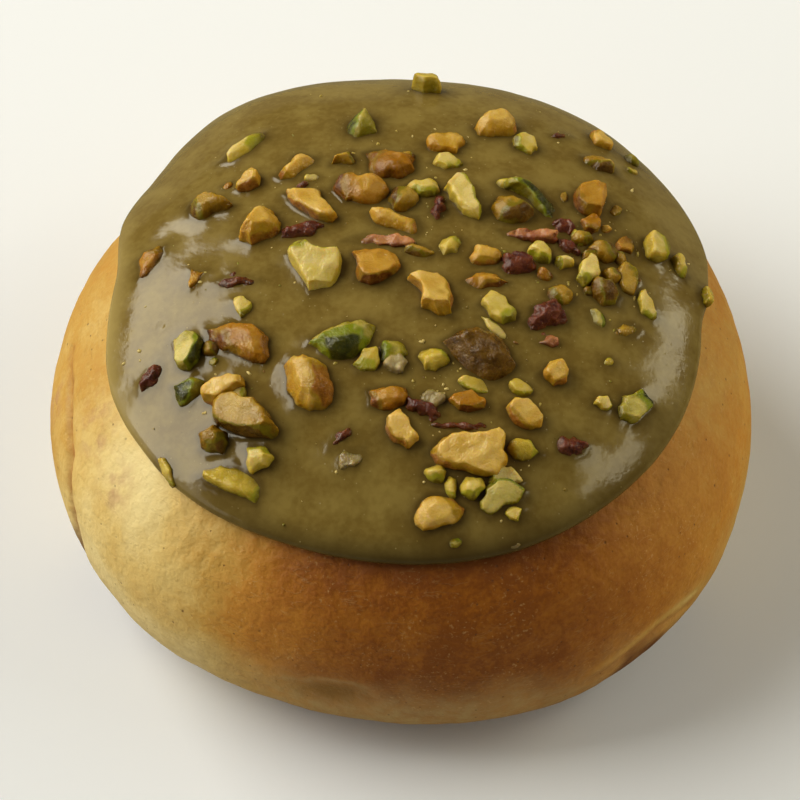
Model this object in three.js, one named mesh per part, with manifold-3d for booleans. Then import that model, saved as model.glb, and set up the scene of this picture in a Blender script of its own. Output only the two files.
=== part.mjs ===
// A round sweet bun, glazed on top with pistachio icing and strewn with chopped pistachios.
// Millimetres, +Z up. The flat base is at z = 0, the front faces -Y, and bearings run from +X to +Y.

import * as THREE from 'three';
import { mergeVertices } from 'three/addons/utils/BufferGeometryUtils.js';
import Module from 'manifold-3d';

// The bun: two half profiles of a superellipse, which meet at its widest level
const bunRadius = 47.5;
const widestLevel = 16.5;
const crownRise = 28;
const crownRoundness = 2.4;
const footDrop = 19;
const footRoundness = 2.8;

// Where the baked side swells out or falls in: bearing and spread in degrees, and how far out
const swells = [
  { bearing: 305, spread: 34, out: 1.9 },
  { bearing: 332, spread: 16, out: 0.6 },
  { bearing: 20, spread: 20, out: -0.7 },
  { bearing: 58, spread: 12, out: 0.3 },
  { bearing: 118, spread: 16, out: 1.2 },
  { bearing: 143, spread: 14, out: -2.2 },
  { bearing: 166, spread: 14, out: -0.9 },
  { bearing: 202, spread: 14, out: 0.4 },
];

// A shallow dimple low on the front
const dimple = { bearing: 259, spread: 6, level: 7, halfHeight: 4, depth: 0.4 };

// The glaze: a sheet with a round bead for an edge, which runs further down at the back
const glazeGap = 0.3;
const glazeThickness = 1.5;
const glazeEdgeLevel = 35.7;
const edgeRises = [
  { bearing: 312, spread: 28, rise: 0.4 },
  { bearing: 177, spread: 18, rise: 0.9 },
];
const backRun = { drop: 5, right: [12, 31], left: [134, 174] };
const ripples = [
  { bearing: 62, spread: 14, reach: 42, width: 4, rise: 0.3 },
  { bearing: 112, spread: 12, reach: 41, width: 4, rise: 0.3 },
  { bearing: 205, spread: 20, reach: 30, width: 7, rise: 0.25 },
];

// Moves the uneven bun so that its outline is centred over the origin
const centring = { across: -0.1, back: 0.3 };

// How finely the round forms are divided
const sectors = 72;
const crownRings = 12;
const sideRings = 7;
const baseRings = 1;
const glazeRings = 11;
const beadSteps = 4;
const undersideRings = 7;

// The chopped nuts, by colour and as seen from above. Each row is one piece:
// [across, back, long, wide, tall, turn in degrees]
const nuts = {
  pale: [
    [-20.5, 23.5, 7, 3.5, 2, 40],
    [-11, -1, 8, 6.5, 3.5, -75],
    [-20, -6, 3.5, 2.5, 1.5, -65],
    [-20, -18.5, 2, 2, 1.5, 0],
    [-17.5, -27, 4, 4, 3, 0],
    [-29, -26, 4.5, 1.5, 1, -65],
    [-4, -15, 4, 3.5, 1.5, 30],
    [4, -15, 5, 4, 2, -25],
    [4, -20.5, 3.5, 2.5, 1, 0],
    [9.5, -18.5, 5, 2, 1, -30],
    [6.5, 3, 4, 3, 1.5, 45],
    [3, 13, 5, 2.5, 2, 0],
    [6, 18, 4.5, 2.5, 1.5, 0],
    [8, 11, 7, 4.5, 3, -65],
    [16.5, 22.5, 3.5, 3, 2, -25],
    [14, 14.5, 4, 2.5, 1.5, -25],
    [18, 2.5, 4, 3.5, 2.5, 35],
    [21, 1.5, 3, 2.5, 2, 0],
    [24, 0.5, 6, 3, 2.5, 75],
    [31.5, -3, 4.5, 2.5, 1.5, -70],
    [33, 7, 4, 4, 3, 0],
    [36, 6, 4, 3, 2, -55],
    [12.5, -7, 6, 4, 2, -40],
    [12, -10, 4.5, 1.5, 1, -45],
    [15, -18.5, 3.5, 2.5, 1.5, -25],
    [25.5, -19, 2.5, 2, 1.5, 0],
    [15.5, -26.5, 5, 2.5, 2, -5],
    [13, -30, 4.5, 3, 2, -20],
    [9, -31.5, 3.5, 3, 2.5, 0],
    [14, -34, 2.5, 2, 1.5, 0],
    [4.5, -30, 3.5, 2.5, 2, 0],
    [6.5, -31.5, 3.5, 2, 1.5, 90],
    [14, -37.5, 3, 1.5, 1, -20],
  ],
  golden: [
    [-13.5, 18, 6.5, 3.5, 2, 45],
    [-19.5, 16, 4, 3.5, 2.5, 65],
    [-18, 7, 7.5, 5, 4, 60],
    [-11.5, 10, 9.5, 4, 2.5, -55],
    [-22, -18, 6, 4, 2.5, 20],
    [-19, -22, 8.5, 5.5, 3.5, -35],
    [-21, -29.5, 8.5, 4, 2, -30],
    [-11.5, -18, 9, 6.5, 4.5, -80],
    [4, -5.5, 7.5, 5.5, 3.5, -65],
    [11, 1.5, 4.5, 3, 2, 0],
    [0, -24.5, 5.5, 4, 3, -55],
    [3.5, 35.5, 4, 3.5, 2.5, 0],
    [6, 21.5, 6, 3.5, 2, 0],
    [-0.5, 7, 7.5, 3.5, 2, -25],
    [12.5, 26, 5.5, 4.5, 3.5, 20],
    [26.5, 27.5, 4, 3, 2, -25],
    [19.5, -16, 3.5, 3.5, 2.5, 10],
    [15.5, -22, 5, 3.5, 2.5, -30],
    [8.5, -27.5, 9.5, 5.5, 3.5, 5],
    [5, -34.5, 5.5, 4.5, 2.5, 25],
  ],
  amber: [
    [-32, 4.5, 7, 4, 1.5, 65],
    [-26, 0, 4, 2, 1, 75],
    [-20.5, -11.5, 9.5, 5.5, 2.5, -30],
    [-3, -1, 6.5, 5, 2.5, 0],
    [11, -2.5, 6.5, 3, 1.5, 5],
    [-1.5, -20.5, 6, 3.5, 2.5, 0],
    [8.5, -21, 4.5, 3, 2, 0],
    [-1.5, 17.5, 7, 5, 2.5, -20],
    [-5, 12.5, 7.5, 4.5, 3, -10],
    [24.5, 13, 5.5, 4.5, 3.5, 90],
    [24.5, 8.5, 3, 3, 2, 0],
    [18.5, -1, 2.5, 2, 1.5, 0],
    [28.5, 7, 4, 2.5, 1, 0],
    [39, 1.5, 7, 2, 1, 88],
  ],
  green: [
    [-26.5, -11.5, 6, 4, 3, 90],
    [-26.5, -17, 4.5, 3.5, 2, 0],
    [-7.5, -12, 9, 4.5, 3, 20],
    [-1, -14, 4, 4, 1.5, 0],
    [-5, 25.5, 5.5, 4, 3, 75],
    [30.5, 26, 2.5, 2, 1.5, -45],
    [25, -6.5, 3.5, 2.5, 1, -65],
    [29.5, -18.5, 5.5, 3.5, 2, 40],
    [12.5, -32.5, 6.5, 4, 2, 25],
  ],
  olive: [
    [-24.5, 12.5, 6.5, 5, 3, -25],
    [-24, -11.5, 2.5, 2.5, 1.5, 0],
    [-23, -24, 4.5, 4, 2.5, 0],
    [2.5, 2, 4.5, 2.5, 1.5, -20],
    [-7.5, 18.5, 3.5, 2.5, 2, 45],
    [1, 19, 2.5, 2, 1.5, 0],
    [0.5, 11, 4, 4.5, 2.5, 0],
    [26, 21.5, 4.5, 3, 2, 0],
    [14.5, 9.5, 6, 4, 3, 0],
    [23.5, 6, 3.5, 2.5, 2, 0],
    [26, 4, 4, 4, 2.5, 0],
    [27, 0.5, 3, 2.5, 2, 0],
    [26, -2.5, 4.5, 4, 3, 0],
    [29, 1, 5.5, 3, 1.5, 100],
    [10, -14, 10, 8, 4.5, -10],
    [20.5, -4, 4, 3, 2, 0],
    [29, -7.5, 3.5, 2.5, 1, 25],
  ],
  skin: [
    [-12.5, 6, 6, 3, 1.5, 10],
    [-21.5, -1.5, 6, 2, 1, -5],
    [-31.5, -13.5, 4, 2.5, 1.5, 0],
    [-7.5, -25.5, 3.5, 2, 1, 40],
    [3, -22, 5, 2.5, 1.5, -30],
    [7, -24, 7, 1.5, 1, 0],
    [-2.5, 4, 9, 2, 1, 0],
    [5, 10, 5, 2, 1.5, 90],
    [21, 26.5, 3, 1.5, 1, 30],
    [17, 12, 7.5, 4.5, 2.5, -40],
    [21, 7.5, 3, 3, 2, 0],
    [16.5, 5.5, 7.5, 2, 1.5, -5],
    [21.5, 4.5, 5, 2, 1.5, -40],
    [15, 0.5, 4.5, 4, 2.5, 0],
    [18.5, -7.5, 6, 5, 3, 0],
    [18.5, -11, 4, 2, 1, -10],
    [21.5, -25, 4, 3, 1.5, 0],
  ],
};

// How blunt the ends and edges of each kind are, and how uneven its faces
const cuts = {
  pale: { blunt: 2.6, uneven: 0.14 },
  golden: { blunt: 3, uneven: 0.12 },
  amber: { blunt: 2.8, uneven: 0.16 },
  green: { blunt: 2.6, uneven: 0.14 },
  olive: { blunt: 2.3, uneven: 0.1 },
  skin: { blunt: 2.3, uneven: 0.18 },
};
const largeNut = 5.5;
const largeDivision = { sides: 7, rings: 3 };
const smallDivision = { sides: 6, rings: 2 };
const sunkShare = 0.28;
const sunkLeast = 0.45;
const sunkMost = 1.2;
const nutSeed = 11;

const weldDistance = 0.004;

const radians = THREE.MathUtils.degToRad;
const power = (value, exponent) => Math.sign(value) * Math.abs(value) ** exponent;
const smooth = THREE.MathUtils.smoothstep;

// A small seeded generator, so that every build draws the same nuts
function seededDraw(seed) {
  let state = seed;
  return () => {
    state = (state * 16807) % 2147483647;
    return state / 2147483647;
  };
}

// A hump of height 1 at the bearing, which fades over the spread
function hump(bearing, middle, spread) {
  const away = ((bearing - middle + 540) % 360) - 180;
  return Math.exp(-((away / spread) ** 2));
}

function bunRadiusAt(bearing) {
  let radius = bunRadius;
  for (const swell of swells) {
    radius += swell.out * hump(bearing, swell.bearing, swell.spread);
  }
  return radius;
}

function dimpleDepth(bearing, level) {
  const rise = (level - dimple.level) / dimple.halfHeight;
  return dimple.depth * hump(bearing, dimple.bearing, dimple.spread) * Math.exp(-(rise ** 2));
}

// A point of the bun's side: lean 0 is the top, 90 the widest level and 180 straight down
function bunPoint(bearing, lean) {
  const above = lean <= 90;
  const roundness = above ? crownRoundness : footRoundness;
  const height = above ? crownRise : footDrop;
  const share = Math.sin(radians(lean)) ** (2 / roundness);
  const level = widestLevel + height * power(Math.cos(radians(lean)), 2 / roundness);
  const reach = (bunRadiusAt(bearing) - dimpleDepth(bearing, level)) * share;
  return polar(bearing, reach, level);
}

function polar(bearing, reach, level) {
  const angle = radians(bearing);
  return new THREE.Vector3(reach * Math.cos(angle), reach * Math.sin(angle), level);
}

// The crown's height at a place seen from above
function crownLevel(across, back) {
  const bearing = THREE.MathUtils.radToDeg(Math.atan2(back, across));
  const share = Math.hypot(across, back) / bunRadiusAt(bearing);
  return widestLevel + crownRise * (1 - share ** crownRoundness) ** (1 / crownRoundness);
}

function crownNormal(across, back) {
  const step = 0.05;
  const slopeX = (crownLevel(across + step, back) - crownLevel(across - step, back)) / (2 * step);
  const slopeY = (crownLevel(across, back + step) - crownLevel(across, back - step)) / (2 * step);
  return new THREE.Vector3(-slopeX, -slopeY, 1).normalize();
}

// A place on the crown, lifted along its normal
function overCrown(across, back, lift) {
  const place = new THREE.Vector3(across, back, crownLevel(across, back));
  return place.addScaledVector(crownNormal(across, back), lift);
}

// How far out the glaze ends, where the crown is down to the edge's level
function glazeReachAt(bearing) {
  const right = smooth(bearing, ...backRun.right);
  const left = 1 - smooth(bearing, ...backRun.left);
  let level = glazeEdgeLevel - backRun.drop * Math.min(right, left);
  for (const wave of edgeRises) {
    level += wave.rise * hump(bearing, wave.bearing, wave.spread);
  }
  const share = (level - widestLevel) / crownRise;
  return bunRadiusAt(bearing) * (1 - share ** crownRoundness) ** (1 / crownRoundness);
}

// How far out a ring of the glaze lies: an even portion of the curve down to its edge
function ringReach(bearing, portion) {
  const radius = bunRadiusAt(bearing);
  const edgeLean = Math.asin((glazeReachAt(bearing) / radius) ** (crownRoundness / 2));
  return radius * Math.sin(edgeLean * portion) ** (2 / crownRoundness);
}

function glazeTop(bearing, reach) {
  let top = glazeGap + glazeThickness;
  for (const ripple of ripples) {
    const across = Math.exp(-(((reach - ripple.reach) / ripple.width) ** 2));
    top += ripple.rise * across * hump(bearing, ripple.bearing, ripple.spread);
  }
  return top;
}

// A closed solid from rings of points, with a single point at either end
function ringSolid(first, rings, last) {
  const count = rings[0].length;
  const points = [first, ...rings.flat(), last];
  const faces = [];
  for (let i = 0; i < count; i++) {
    const next = (i + 1) % count;
    faces.push(0, 1 + i, 1 + next);
    for (let ring = 0; ring < rings.length - 1; ring++) {
      const upper = 1 + ring * count;
      const lower = upper + count;
      faces.push(upper + i, lower + i, lower + next);
      faces.push(upper + i, lower + next, upper + next);
    }
    const base = 1 + (rings.length - 1) * count;
    faces.push(base + i, points.length - 1, base + next);
  }
  const geometry = new THREE.BufferGeometry().setFromPoints(points);
  geometry.setIndex(faces);
  return geometry;
}

function bearings() {
  return Array.from({ length: sectors }, (_, i) => (360 * i) / sectors);
}

function bunGeometry() {
  const baseCosine = (widestLevel / footDrop) ** (footRoundness / 2);
  const baseLean = 180 - THREE.MathUtils.radToDeg(Math.acos(baseCosine));
  const leans = [];
  for (let i = 1; i <= crownRings; i++) {
    leans.push((90 * i) / crownRings);
  }
  for (let i = 1; i <= sideRings; i++) {
    leans.push(90 + ((baseLean - 90) * i) / sideRings);
  }
  const rings = leans.map((lean) => bearings().map((bearing) => bunPoint(bearing, lean)));
  const rim = rings.at(-1);
  rim.forEach((point) => point.setZ(0));
  for (let i = baseRings; i >= 1; i--) {
    rings.push(rim.map((point) => point.clone().multiplyScalar(i / (baseRings + 1))));
  }
  const top = new THREE.Vector3(0, 0, widestLevel + crownRise);
  return ringSolid(top, rings, new THREE.Vector3(0, 0, 0));
}

function glazeGeometry() {
  const rings = [];
  const addRing = (pointAt) => rings.push(bearings().map(pointAt));
  for (let i = 1; i <= glazeRings; i++) {
    addRing((bearing) => {
      const reach = ringReach(bearing, i / glazeRings);
      const place = polar(bearing, reach, 0);
      return overCrown(place.x, place.y, glazeTop(bearing, reach));
    });
  }
  for (let i = 1; i < beadSteps; i++) {
    addRing((bearing) => beadPoint(bearing, 90 - (180 * i) / beadSteps));
  }
  for (let i = undersideRings; i >= 1; i--) {
    addRing((bearing) => {
      const place = polar(bearing, ringReach(bearing, i / undersideRings), 0);
      return overCrown(place.x, place.y, glazeGap);
    });
  }
  const top = overCrown(0, 0, glazeGap + glazeThickness);
  return ringSolid(top, rings, overCrown(0, 0, glazeGap));
}

// The glaze's edge is half a circle, from its top (90) round to its underside (-90)
function beadPoint(bearing, angle) {
  const reach = glazeReachAt(bearing);
  const place = polar(bearing, reach, 0);
  const normal = crownNormal(place.x, place.y);
  const outward = polar(bearing, 1, 0).projectOnPlane(normal).normalize();
  const radius = (glazeTop(bearing, reach) - glazeGap) / 2;
  return overCrown(place.x, place.y, glazeGap + radius)
    .addScaledVector(normal, radius * Math.sin(radians(angle)))
    .addScaledVector(outward, radius * Math.cos(radians(angle)));
}

// One chopped piece, its long side along X, with every corner drawn a little uneven
function nutGeometry(cut, long, wide, tall, draw) {
  const { sides, rings } = long >= largeNut ? largeDivision : smallDivision;
  const blunt = 2 / cut.blunt;
  const uneven = () => 1 + cut.uneven * (2 * draw() - 1);
  const ringPoints = [];
  for (let ring = 0; ring < rings; ring++) {
    const lean = radians((180 * (ring + 1)) / (rings + 1));
    const along = power(Math.cos(lean), blunt) * uneven();
    const girth = Math.sin(lean) ** blunt;
    const offset = (draw() * 360) / sides;
    const points = [];
    for (let side = 0; side < sides; side++) {
      const angle = radians((360 * side) / sides + offset * cut.uneven);
      const size = girth * uneven();
      const y = power(Math.cos(angle), blunt) * size;
      const z = power(Math.sin(angle), blunt) * size;
      points.push(new THREE.Vector3((along * long) / 2, (y * wide) / 2, (z * tall) / 2));
    }
    ringPoints.push(points);
  }
  const end = new THREE.Vector3(long / 2, 0, 0);
  return ringSolid(end, ringPoints, end.clone().negate());
}

// Lays a piece on the glaze, square to it and sunk in a little
function layOnGlaze(geometry, across, back, tall, turn) {
  const bearing = THREE.MathUtils.radToDeg(Math.atan2(back, across));
  const top = glazeTop(bearing, Math.hypot(across, back));
  const sunk = THREE.MathUtils.clamp(tall * sunkShare, sunkLeast, sunkMost);
  const up = crownNormal(across, back);
  const along = new THREE.Vector3(Math.cos(radians(turn)), Math.sin(radians(turn)), 0);
  along.projectOnPlane(up).normalize();
  const aside = new THREE.Vector3().crossVectors(up, along);
  const place = overCrown(across, back, top + tall / 2 - sunk);
  geometry.applyMatrix4(new THREE.Matrix4().makeBasis(along, aside, up).setPosition(place));
  return geometry;
}

const wasm = await Module();
wasm.setup();

function toSolid(geometry) {
  return new wasm.Manifold(
    new wasm.Mesh({
      numProp: 3,
      vertProperties: new Float32Array(geometry.attributes.position.array),
      triVerts: new Uint32Array(geometry.index.array),
    }),
  );
}

// Back to a geometry, with corners that nearly meet made one and collapsed faces left out
function fromSolid(solid) {
  const mesh = solid.getMesh();
  const loose = new THREE.BufferGeometry();
  loose.setAttribute('position', new THREE.BufferAttribute(mesh.vertProperties, 3));
  loose.setIndex(new THREE.BufferAttribute(mesh.triVerts, 1));
  const welded = mergeVertices(loose, weldDistance);
  const faces = [];
  const corners = welded.index.array;
  for (let i = 0; i < corners.length; i += 3) {
    const [a, b, c] = corners.subarray(i, i + 3);
    if (a !== b && b !== c && c !== a) {
      faces.push(a, b, c);
    }
  }
  welded.setIndex(faces);
  return welded;
}

function glazeWithNuts() {
  const draw = seededDraw(nutSeed);
  let solid = toSolid(glazeGeometry());
  for (const [colour, pieces] of Object.entries(nuts)) {
    for (const [across, back, long, wide, tall, turn] of pieces) {
      const piece = nutGeometry(cuts[colour], long, wide, tall, draw);
      solid = solid.add(toSolid(layOnGlaze(piece, across, back, tall, turn)));
    }
  }
  return fromSolid(solid);
}

function part(name, geometry, colour, roughness) {
  const material = new THREE.MeshStandardMaterial({ color: colour, roughness, metalness: 0 });
  const mesh = new THREE.Mesh(geometry, material);
  mesh.name = name;
  return mesh;
}

const glazedBun = new THREE.Group();
glazedBun.add(part('bun', bunGeometry(), '#a9772f', 0.55));
glazedBun.add(part('pistachio_glaze', glazeWithNuts(), '#75602a', 0.2));
glazedBun.position.set(centring.across, centring.back, 0);

export default glazedBun;
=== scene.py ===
# A round sweet bun, iced on top with pistachio glaze and strewn with chopped pistachios.
# Sizes are in millimetres until they go into a mesh. The front faces -Y, bearings run from +X to +Y.
import math
import random

import bmesh
import bpy
import numpy as np
from mathutils import Matrix, Quaternion, Vector


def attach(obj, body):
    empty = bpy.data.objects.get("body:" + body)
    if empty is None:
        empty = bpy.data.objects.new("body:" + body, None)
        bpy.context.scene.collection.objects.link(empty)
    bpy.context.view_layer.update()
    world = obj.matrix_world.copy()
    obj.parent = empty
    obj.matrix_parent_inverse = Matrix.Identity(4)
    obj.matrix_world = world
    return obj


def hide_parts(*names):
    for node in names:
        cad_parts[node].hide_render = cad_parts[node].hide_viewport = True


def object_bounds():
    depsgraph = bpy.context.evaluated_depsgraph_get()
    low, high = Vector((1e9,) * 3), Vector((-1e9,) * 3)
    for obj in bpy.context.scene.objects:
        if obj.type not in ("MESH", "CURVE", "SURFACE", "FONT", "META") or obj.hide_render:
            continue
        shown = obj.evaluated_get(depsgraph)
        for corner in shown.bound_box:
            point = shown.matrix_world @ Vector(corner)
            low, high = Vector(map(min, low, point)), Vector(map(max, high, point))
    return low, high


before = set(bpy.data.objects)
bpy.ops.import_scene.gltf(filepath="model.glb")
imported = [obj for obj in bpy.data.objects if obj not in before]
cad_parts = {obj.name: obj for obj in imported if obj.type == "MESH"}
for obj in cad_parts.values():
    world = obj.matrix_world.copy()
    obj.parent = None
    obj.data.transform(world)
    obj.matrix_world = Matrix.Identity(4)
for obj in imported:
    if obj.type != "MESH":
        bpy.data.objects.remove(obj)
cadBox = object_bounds()
scene = bpy.context.scene
scene.view_settings.view_transform = "Standard"
mm = 0.001
print("frame loaded")

# The bun's form: a crown and a foot of their own roundness that meet at the widest level
bunForm = {
    "radius": 47.5,
    "widest": 16.5,
    "crown": 28,
    "crownRound": 2.4,
    "foot": 19,
    "footRound": 2.8,
    "centre": (-0.1, 0.3),
    "swells": [  # bearing, spread, out
        (228, 15, 0.7),
        (303, 31, 2.4),
        (332, 16, 0.6),
        (20, 20, -0.4),
        (58, 12, 0.3),
        (118, 16, 1.2),
        (143, 14, -2.2),
        (166, 14, -0.9),
        (202, 14, 0.4),
    ],
}

# The glaze: how thick it lies, where it ends, and its slow waves
glazeForm = {
    "top": 1.8,
    "under": -0.45,
    "edgeLevel": 35.7,
    "edgeRises": [(312, 28, 0.4), (177, 18, 0.9)],  # bearing, spread, rise
    "backDrop": 5,
    "dropRight": (-6, 26),
    "dropLeft": (314, 354),
    "ripples": [  # bearing, spread, reach, width, rise
        (62, 14, 42, 4, 0.3),
        (112, 12, 41, 4, 0.3),
        (205, 20, 30, 7, 0.25),
        (17, 17, 41, 5, -0.9),
    ],
}


def hump(bearing, middle, spread):
    away = (bearing - middle + 540) % 360 - 180
    return np.exp(-((away / spread) ** 2))


def smoothStep(value, low, high):
    share = np.clip((value - low) / (high - low), 0, 1)
    return share * share * (3 - 2 * share)


def bunRadiusAt(bearing):
    radius = np.full_like(np.asarray(bearing, float), bunForm["radius"])
    for middle, spread, out in bunForm["swells"]:
        radius = radius + out * hump(bearing, middle, spread)
    return radius


def bearingOf(x, y):
    return np.degrees(np.arctan2(y, x)) % 360


def crownLevel(x, y):
    share = np.minimum(np.hypot(x, y) / bunRadiusAt(bearingOf(x, y)), 0.9999)
    roundness = bunForm["crownRound"]
    return bunForm["widest"] + bunForm["crown"] * (1 - share**roundness) ** (1 / roundness)


def crownNormal(x, y):
    step = 0.05
    slopeX = (crownLevel(x + step, y) - crownLevel(x - step, y)) / (2 * step)
    slopeY = (crownLevel(x, y + step) - crownLevel(x, y - step)) / (2 * step)
    normal = np.stack([-slopeX, -slopeY, np.ones_like(slopeX)], -1)
    return normal / np.linalg.norm(normal, axis=-1, keepdims=True)


def overCrown(x, y, lift):
    place = np.stack([x, y, crownLevel(x, y)], -1)
    return place + crownNormal(x, y) * np.asarray(lift)[..., None]


def glazeReachAt(bearing):
    right = smoothStep((bearing + 180) % 360 - 180, *glazeForm["dropRight"])
    left = 1 - smoothStep((bearing + 180) % 360, *glazeForm["dropLeft"])
    level = glazeForm["edgeLevel"] - glazeForm["backDrop"] * np.minimum(right, left)
    for middle, spread, rise in glazeForm["edgeRises"]:
        level = level + rise * hump(bearing, middle, spread)
    share = (level - bunForm["widest"]) / bunForm["crown"]
    roundness = bunForm["crownRound"]
    return bunRadiusAt(bearing) * (1 - share**roundness) ** (1 / roundness)


def glazeTopAt(bearing, reach):
    top = np.full_like(np.asarray(reach, float), glazeForm["top"])
    for middle, spread, at, width, rise in glazeForm["ripples"]:
        top = top + rise * np.exp(-(((reach - at) / width) ** 2)) * hump(bearing, middle, spread)
    return top


def selectOnly(piece):
    bpy.ops.object.select_all(action="DESELECT")
    piece.select_set(True)
    bpy.context.view_layer.objects.active = piece


def applyModifier(piece, kind, **settings):
    selectOnly(piece)
    modifier = piece.modifiers.new(kind.lower(), kind)
    for name, value in settings.items():
        setattr(modifier, name, value)
    bpy.ops.object.modifier_apply(modifier=modifier.name)


def corners(piece):
    points = np.empty(len(piece.data.vertices) * 3)
    piece.data.vertices.foreach_get("co", points)
    return points.reshape(-1, 3)


def moveCorners(piece, points):
    piece.data.vertices.foreach_set("co", np.asarray(points, float).ravel())
    piece.data.update()


def cornerNormals(piece):
    normals = np.empty(len(piece.data.vertices) * 3)
    piece.data.vertices.foreach_get("normal", normals)
    return normals.reshape(-1, 3)


# Smooth lattice noise between about -1 and 1, a new one for each seed
def noiseAt(points, size, seed):
    table = np.random.RandomState(seed).permutation(256)
    slopes = np.random.RandomState(seed + 500).normal(size=(256, 3))
    slopes /= np.linalg.norm(slopes, axis=1, keepdims=True)
    place = np.asarray(points) / size + 100
    cell = np.floor(place).astype(int)
    part = place - cell
    ease = part**3 * (part * (part * 6 - 15) + 10)
    total = np.zeros(len(place))
    for step in np.ndindex(2, 2, 2):
        corner = (cell + step) % 256
        pick = table[(table[(table[corner[:, 0]] + corner[:, 1]) % 256] + corner[:, 2]) % 256]
        pull = np.sum(slopes[pick] * (part - step), 1)
        total += pull * np.prod(np.where(step, ease, 1 - ease), 1)
    return total * 1.6


def smoothShade(piece):
    selectOnly(piece)
    bpy.ops.object.shade_smooth()


def addSphere(name, sectors, rings):
    bpy.ops.object.select_all(action="DESELECT")
    bpy.ops.mesh.primitive_uv_sphere_add(segments=sectors, ring_count=rings, radius=1)
    piece = bpy.context.object
    piece.name = name
    piece.data.name = name
    return piece


# The baked crust, with its creases and wrinkles as relief
crust = {
    "sectors": 432,
    "rings": 228,
    "sideFrom": (30, 46),  # ring angle of the sphere, lean of the bun
    "sideTo": (170, 147),
    "settle": 0.15,
    "lumps": [(15, 0.3, 1), (5, 0.1, 2), (1.7, 0.05, 3)],  # size, height, seed
    "dimple": {"bearing": 259, "spread": 6, "level": 15.5, "halfHeight": 2.6, "depth": 0.9},
    "creases": [  # from bearing and level, to bearing and level, depth, width
        (181, 29.3, 188, 29.4, 0.4, 0.7),
        (188, 29.4, 194, 28.4, 0.55, 0.7),
        (194, 28.4, 200, 26.2, 0.6, 0.7),
        (200, 26.2, 204.5, 19.5, 0.7, 0.8),
        (204.5, 19.5, 207, 12, 0.8, 1),
        (242, 15, 249, 13, 0.16, 0.7),
        (244, 19.5, 253, 20.6, 0.1, 0.6),
        (254, 20.6, 260, 20.2, 0.12, 0.6),
        (255, 14, 261, 11.8, 0.18, 0.6),
        (267, 25.3, 273, 25, 0.08, 0.5),
        (264.5, 18.5, 266.5, 14, 0.2, 0.6),
        (276, 15.5, 286, 16.5, 0.1, 0.6),
        (300, 13.6, 306, 14.4, 0.25, 0.8),
        (306, 14.4, 313, 15.4, 0.35, 0.8),
        (313, 15.4, 321, 13.6, 0.25, 0.8),
    ],
    "pleats": [  # bearing, spread, lowest level, height
        (232, 20, 31, 0.13),
        (290, 60, 33, 0.06),
        (70, 90, 30, 0.08),
    ],
    "strands": {"wide": 1.3, "tall": 9, "seed": 33, "over": 0.5, "fade": 3},  # of the pleats
    "drift": (11, 31),  # size and seed of the slow changes of colour
    "flutter": (3.5, 32),  # and of the quick ones
    "unsteady": (0.07, 0.05),  # how much of each is in the brown
    "bakeDrift": 5,
    "bake": [  # bearing, how brown
        (0, 0.43), (60, 0.56), (110, 0.5), (150, 0.4), (172, 0.28), (187, 0.3), (194, 0.29),
        (201, 0.19), (213, 0.03), (225, 0.17), (234, 0.22), (245, 0.5), (253, 0.77), (262, 0.92),
        (275, 0.97), (295, 0.94), (305, 0.8), (316, 0.64), (325, 0.53), (345, 0.42), (360, 0.43),
    ],
    "paler": {"from": 22, "to": 9, "by": 0.2, "ragged": 2},
    "strip": {  # a pale line over a crease, by bearing and level
        "line": [(300, 15.4), (306, 16.3), (312, 17.3), (317, 16.9), (323, 15)],
        "width": 0.9,
        "fade": 3,
        "paler": 0.3,
    },
    "dusty": {"bearing": 268, "spread": 36, "from": 22.5, "to": 12, "rest": 0.3, "ragged": (3, 1.5)},
    "rim": {"at": 1.25, "width": 0.3, "dust": 0.85, "ragged": 0.4},  # of flour, over the dimple
    "inside": {"cleaner": 0.8, "reach": 0.8, "hollow": 0.85},  # of the dimple: less dust, and the reach of its painted shade
    "scorched": {
        "level": 3,
        # Bearing, spread, rise
        "rises": [(203, 6, 9.7), (214, 9, 6), (309, 8, 11), (324, 9, 7), (120, 30, 2)],
        "ragged": 1.6,
        "soft": (-2, 2.6),
    },
    # Painted shadow under the glaze's front edge
    "underGlaze": {"bearing": 285, "spread": 32, "levels": (31, 35.5), "share": 0.5},
    "stains": [(198.5, 32.3, 2.2), (204, 31, 2.6), (213, 29.6, 2.8), (188, 25, 3)],  # bearing, level, reach
    # Painted shade in the creases: how fast it darkens with crease depth
    "creaseShadeGain": 1.8,
}


def creaseDepth(bearing, level):
    depth = np.zeros_like(bearing)
    perDegree = math.radians(bunForm["radius"])
    for fromBearing, fromLevel, toBearing, toLevel, deep, width in crust["creases"]:
        run = np.array([(toBearing - fromBearing) * perDegree, toLevel - fromLevel])
        across = (bearing - fromBearing) * perDegree
        along = np.clip((across * run[0] + (level - fromLevel) * run[1]) / (run @ run), 0, 1)
        away = np.hypot(across - along * run[0], level - fromLevel - along * run[1])
        depth = np.maximum(depth, deep * np.exp(-((away / width) ** 2)))
    return depth


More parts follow.
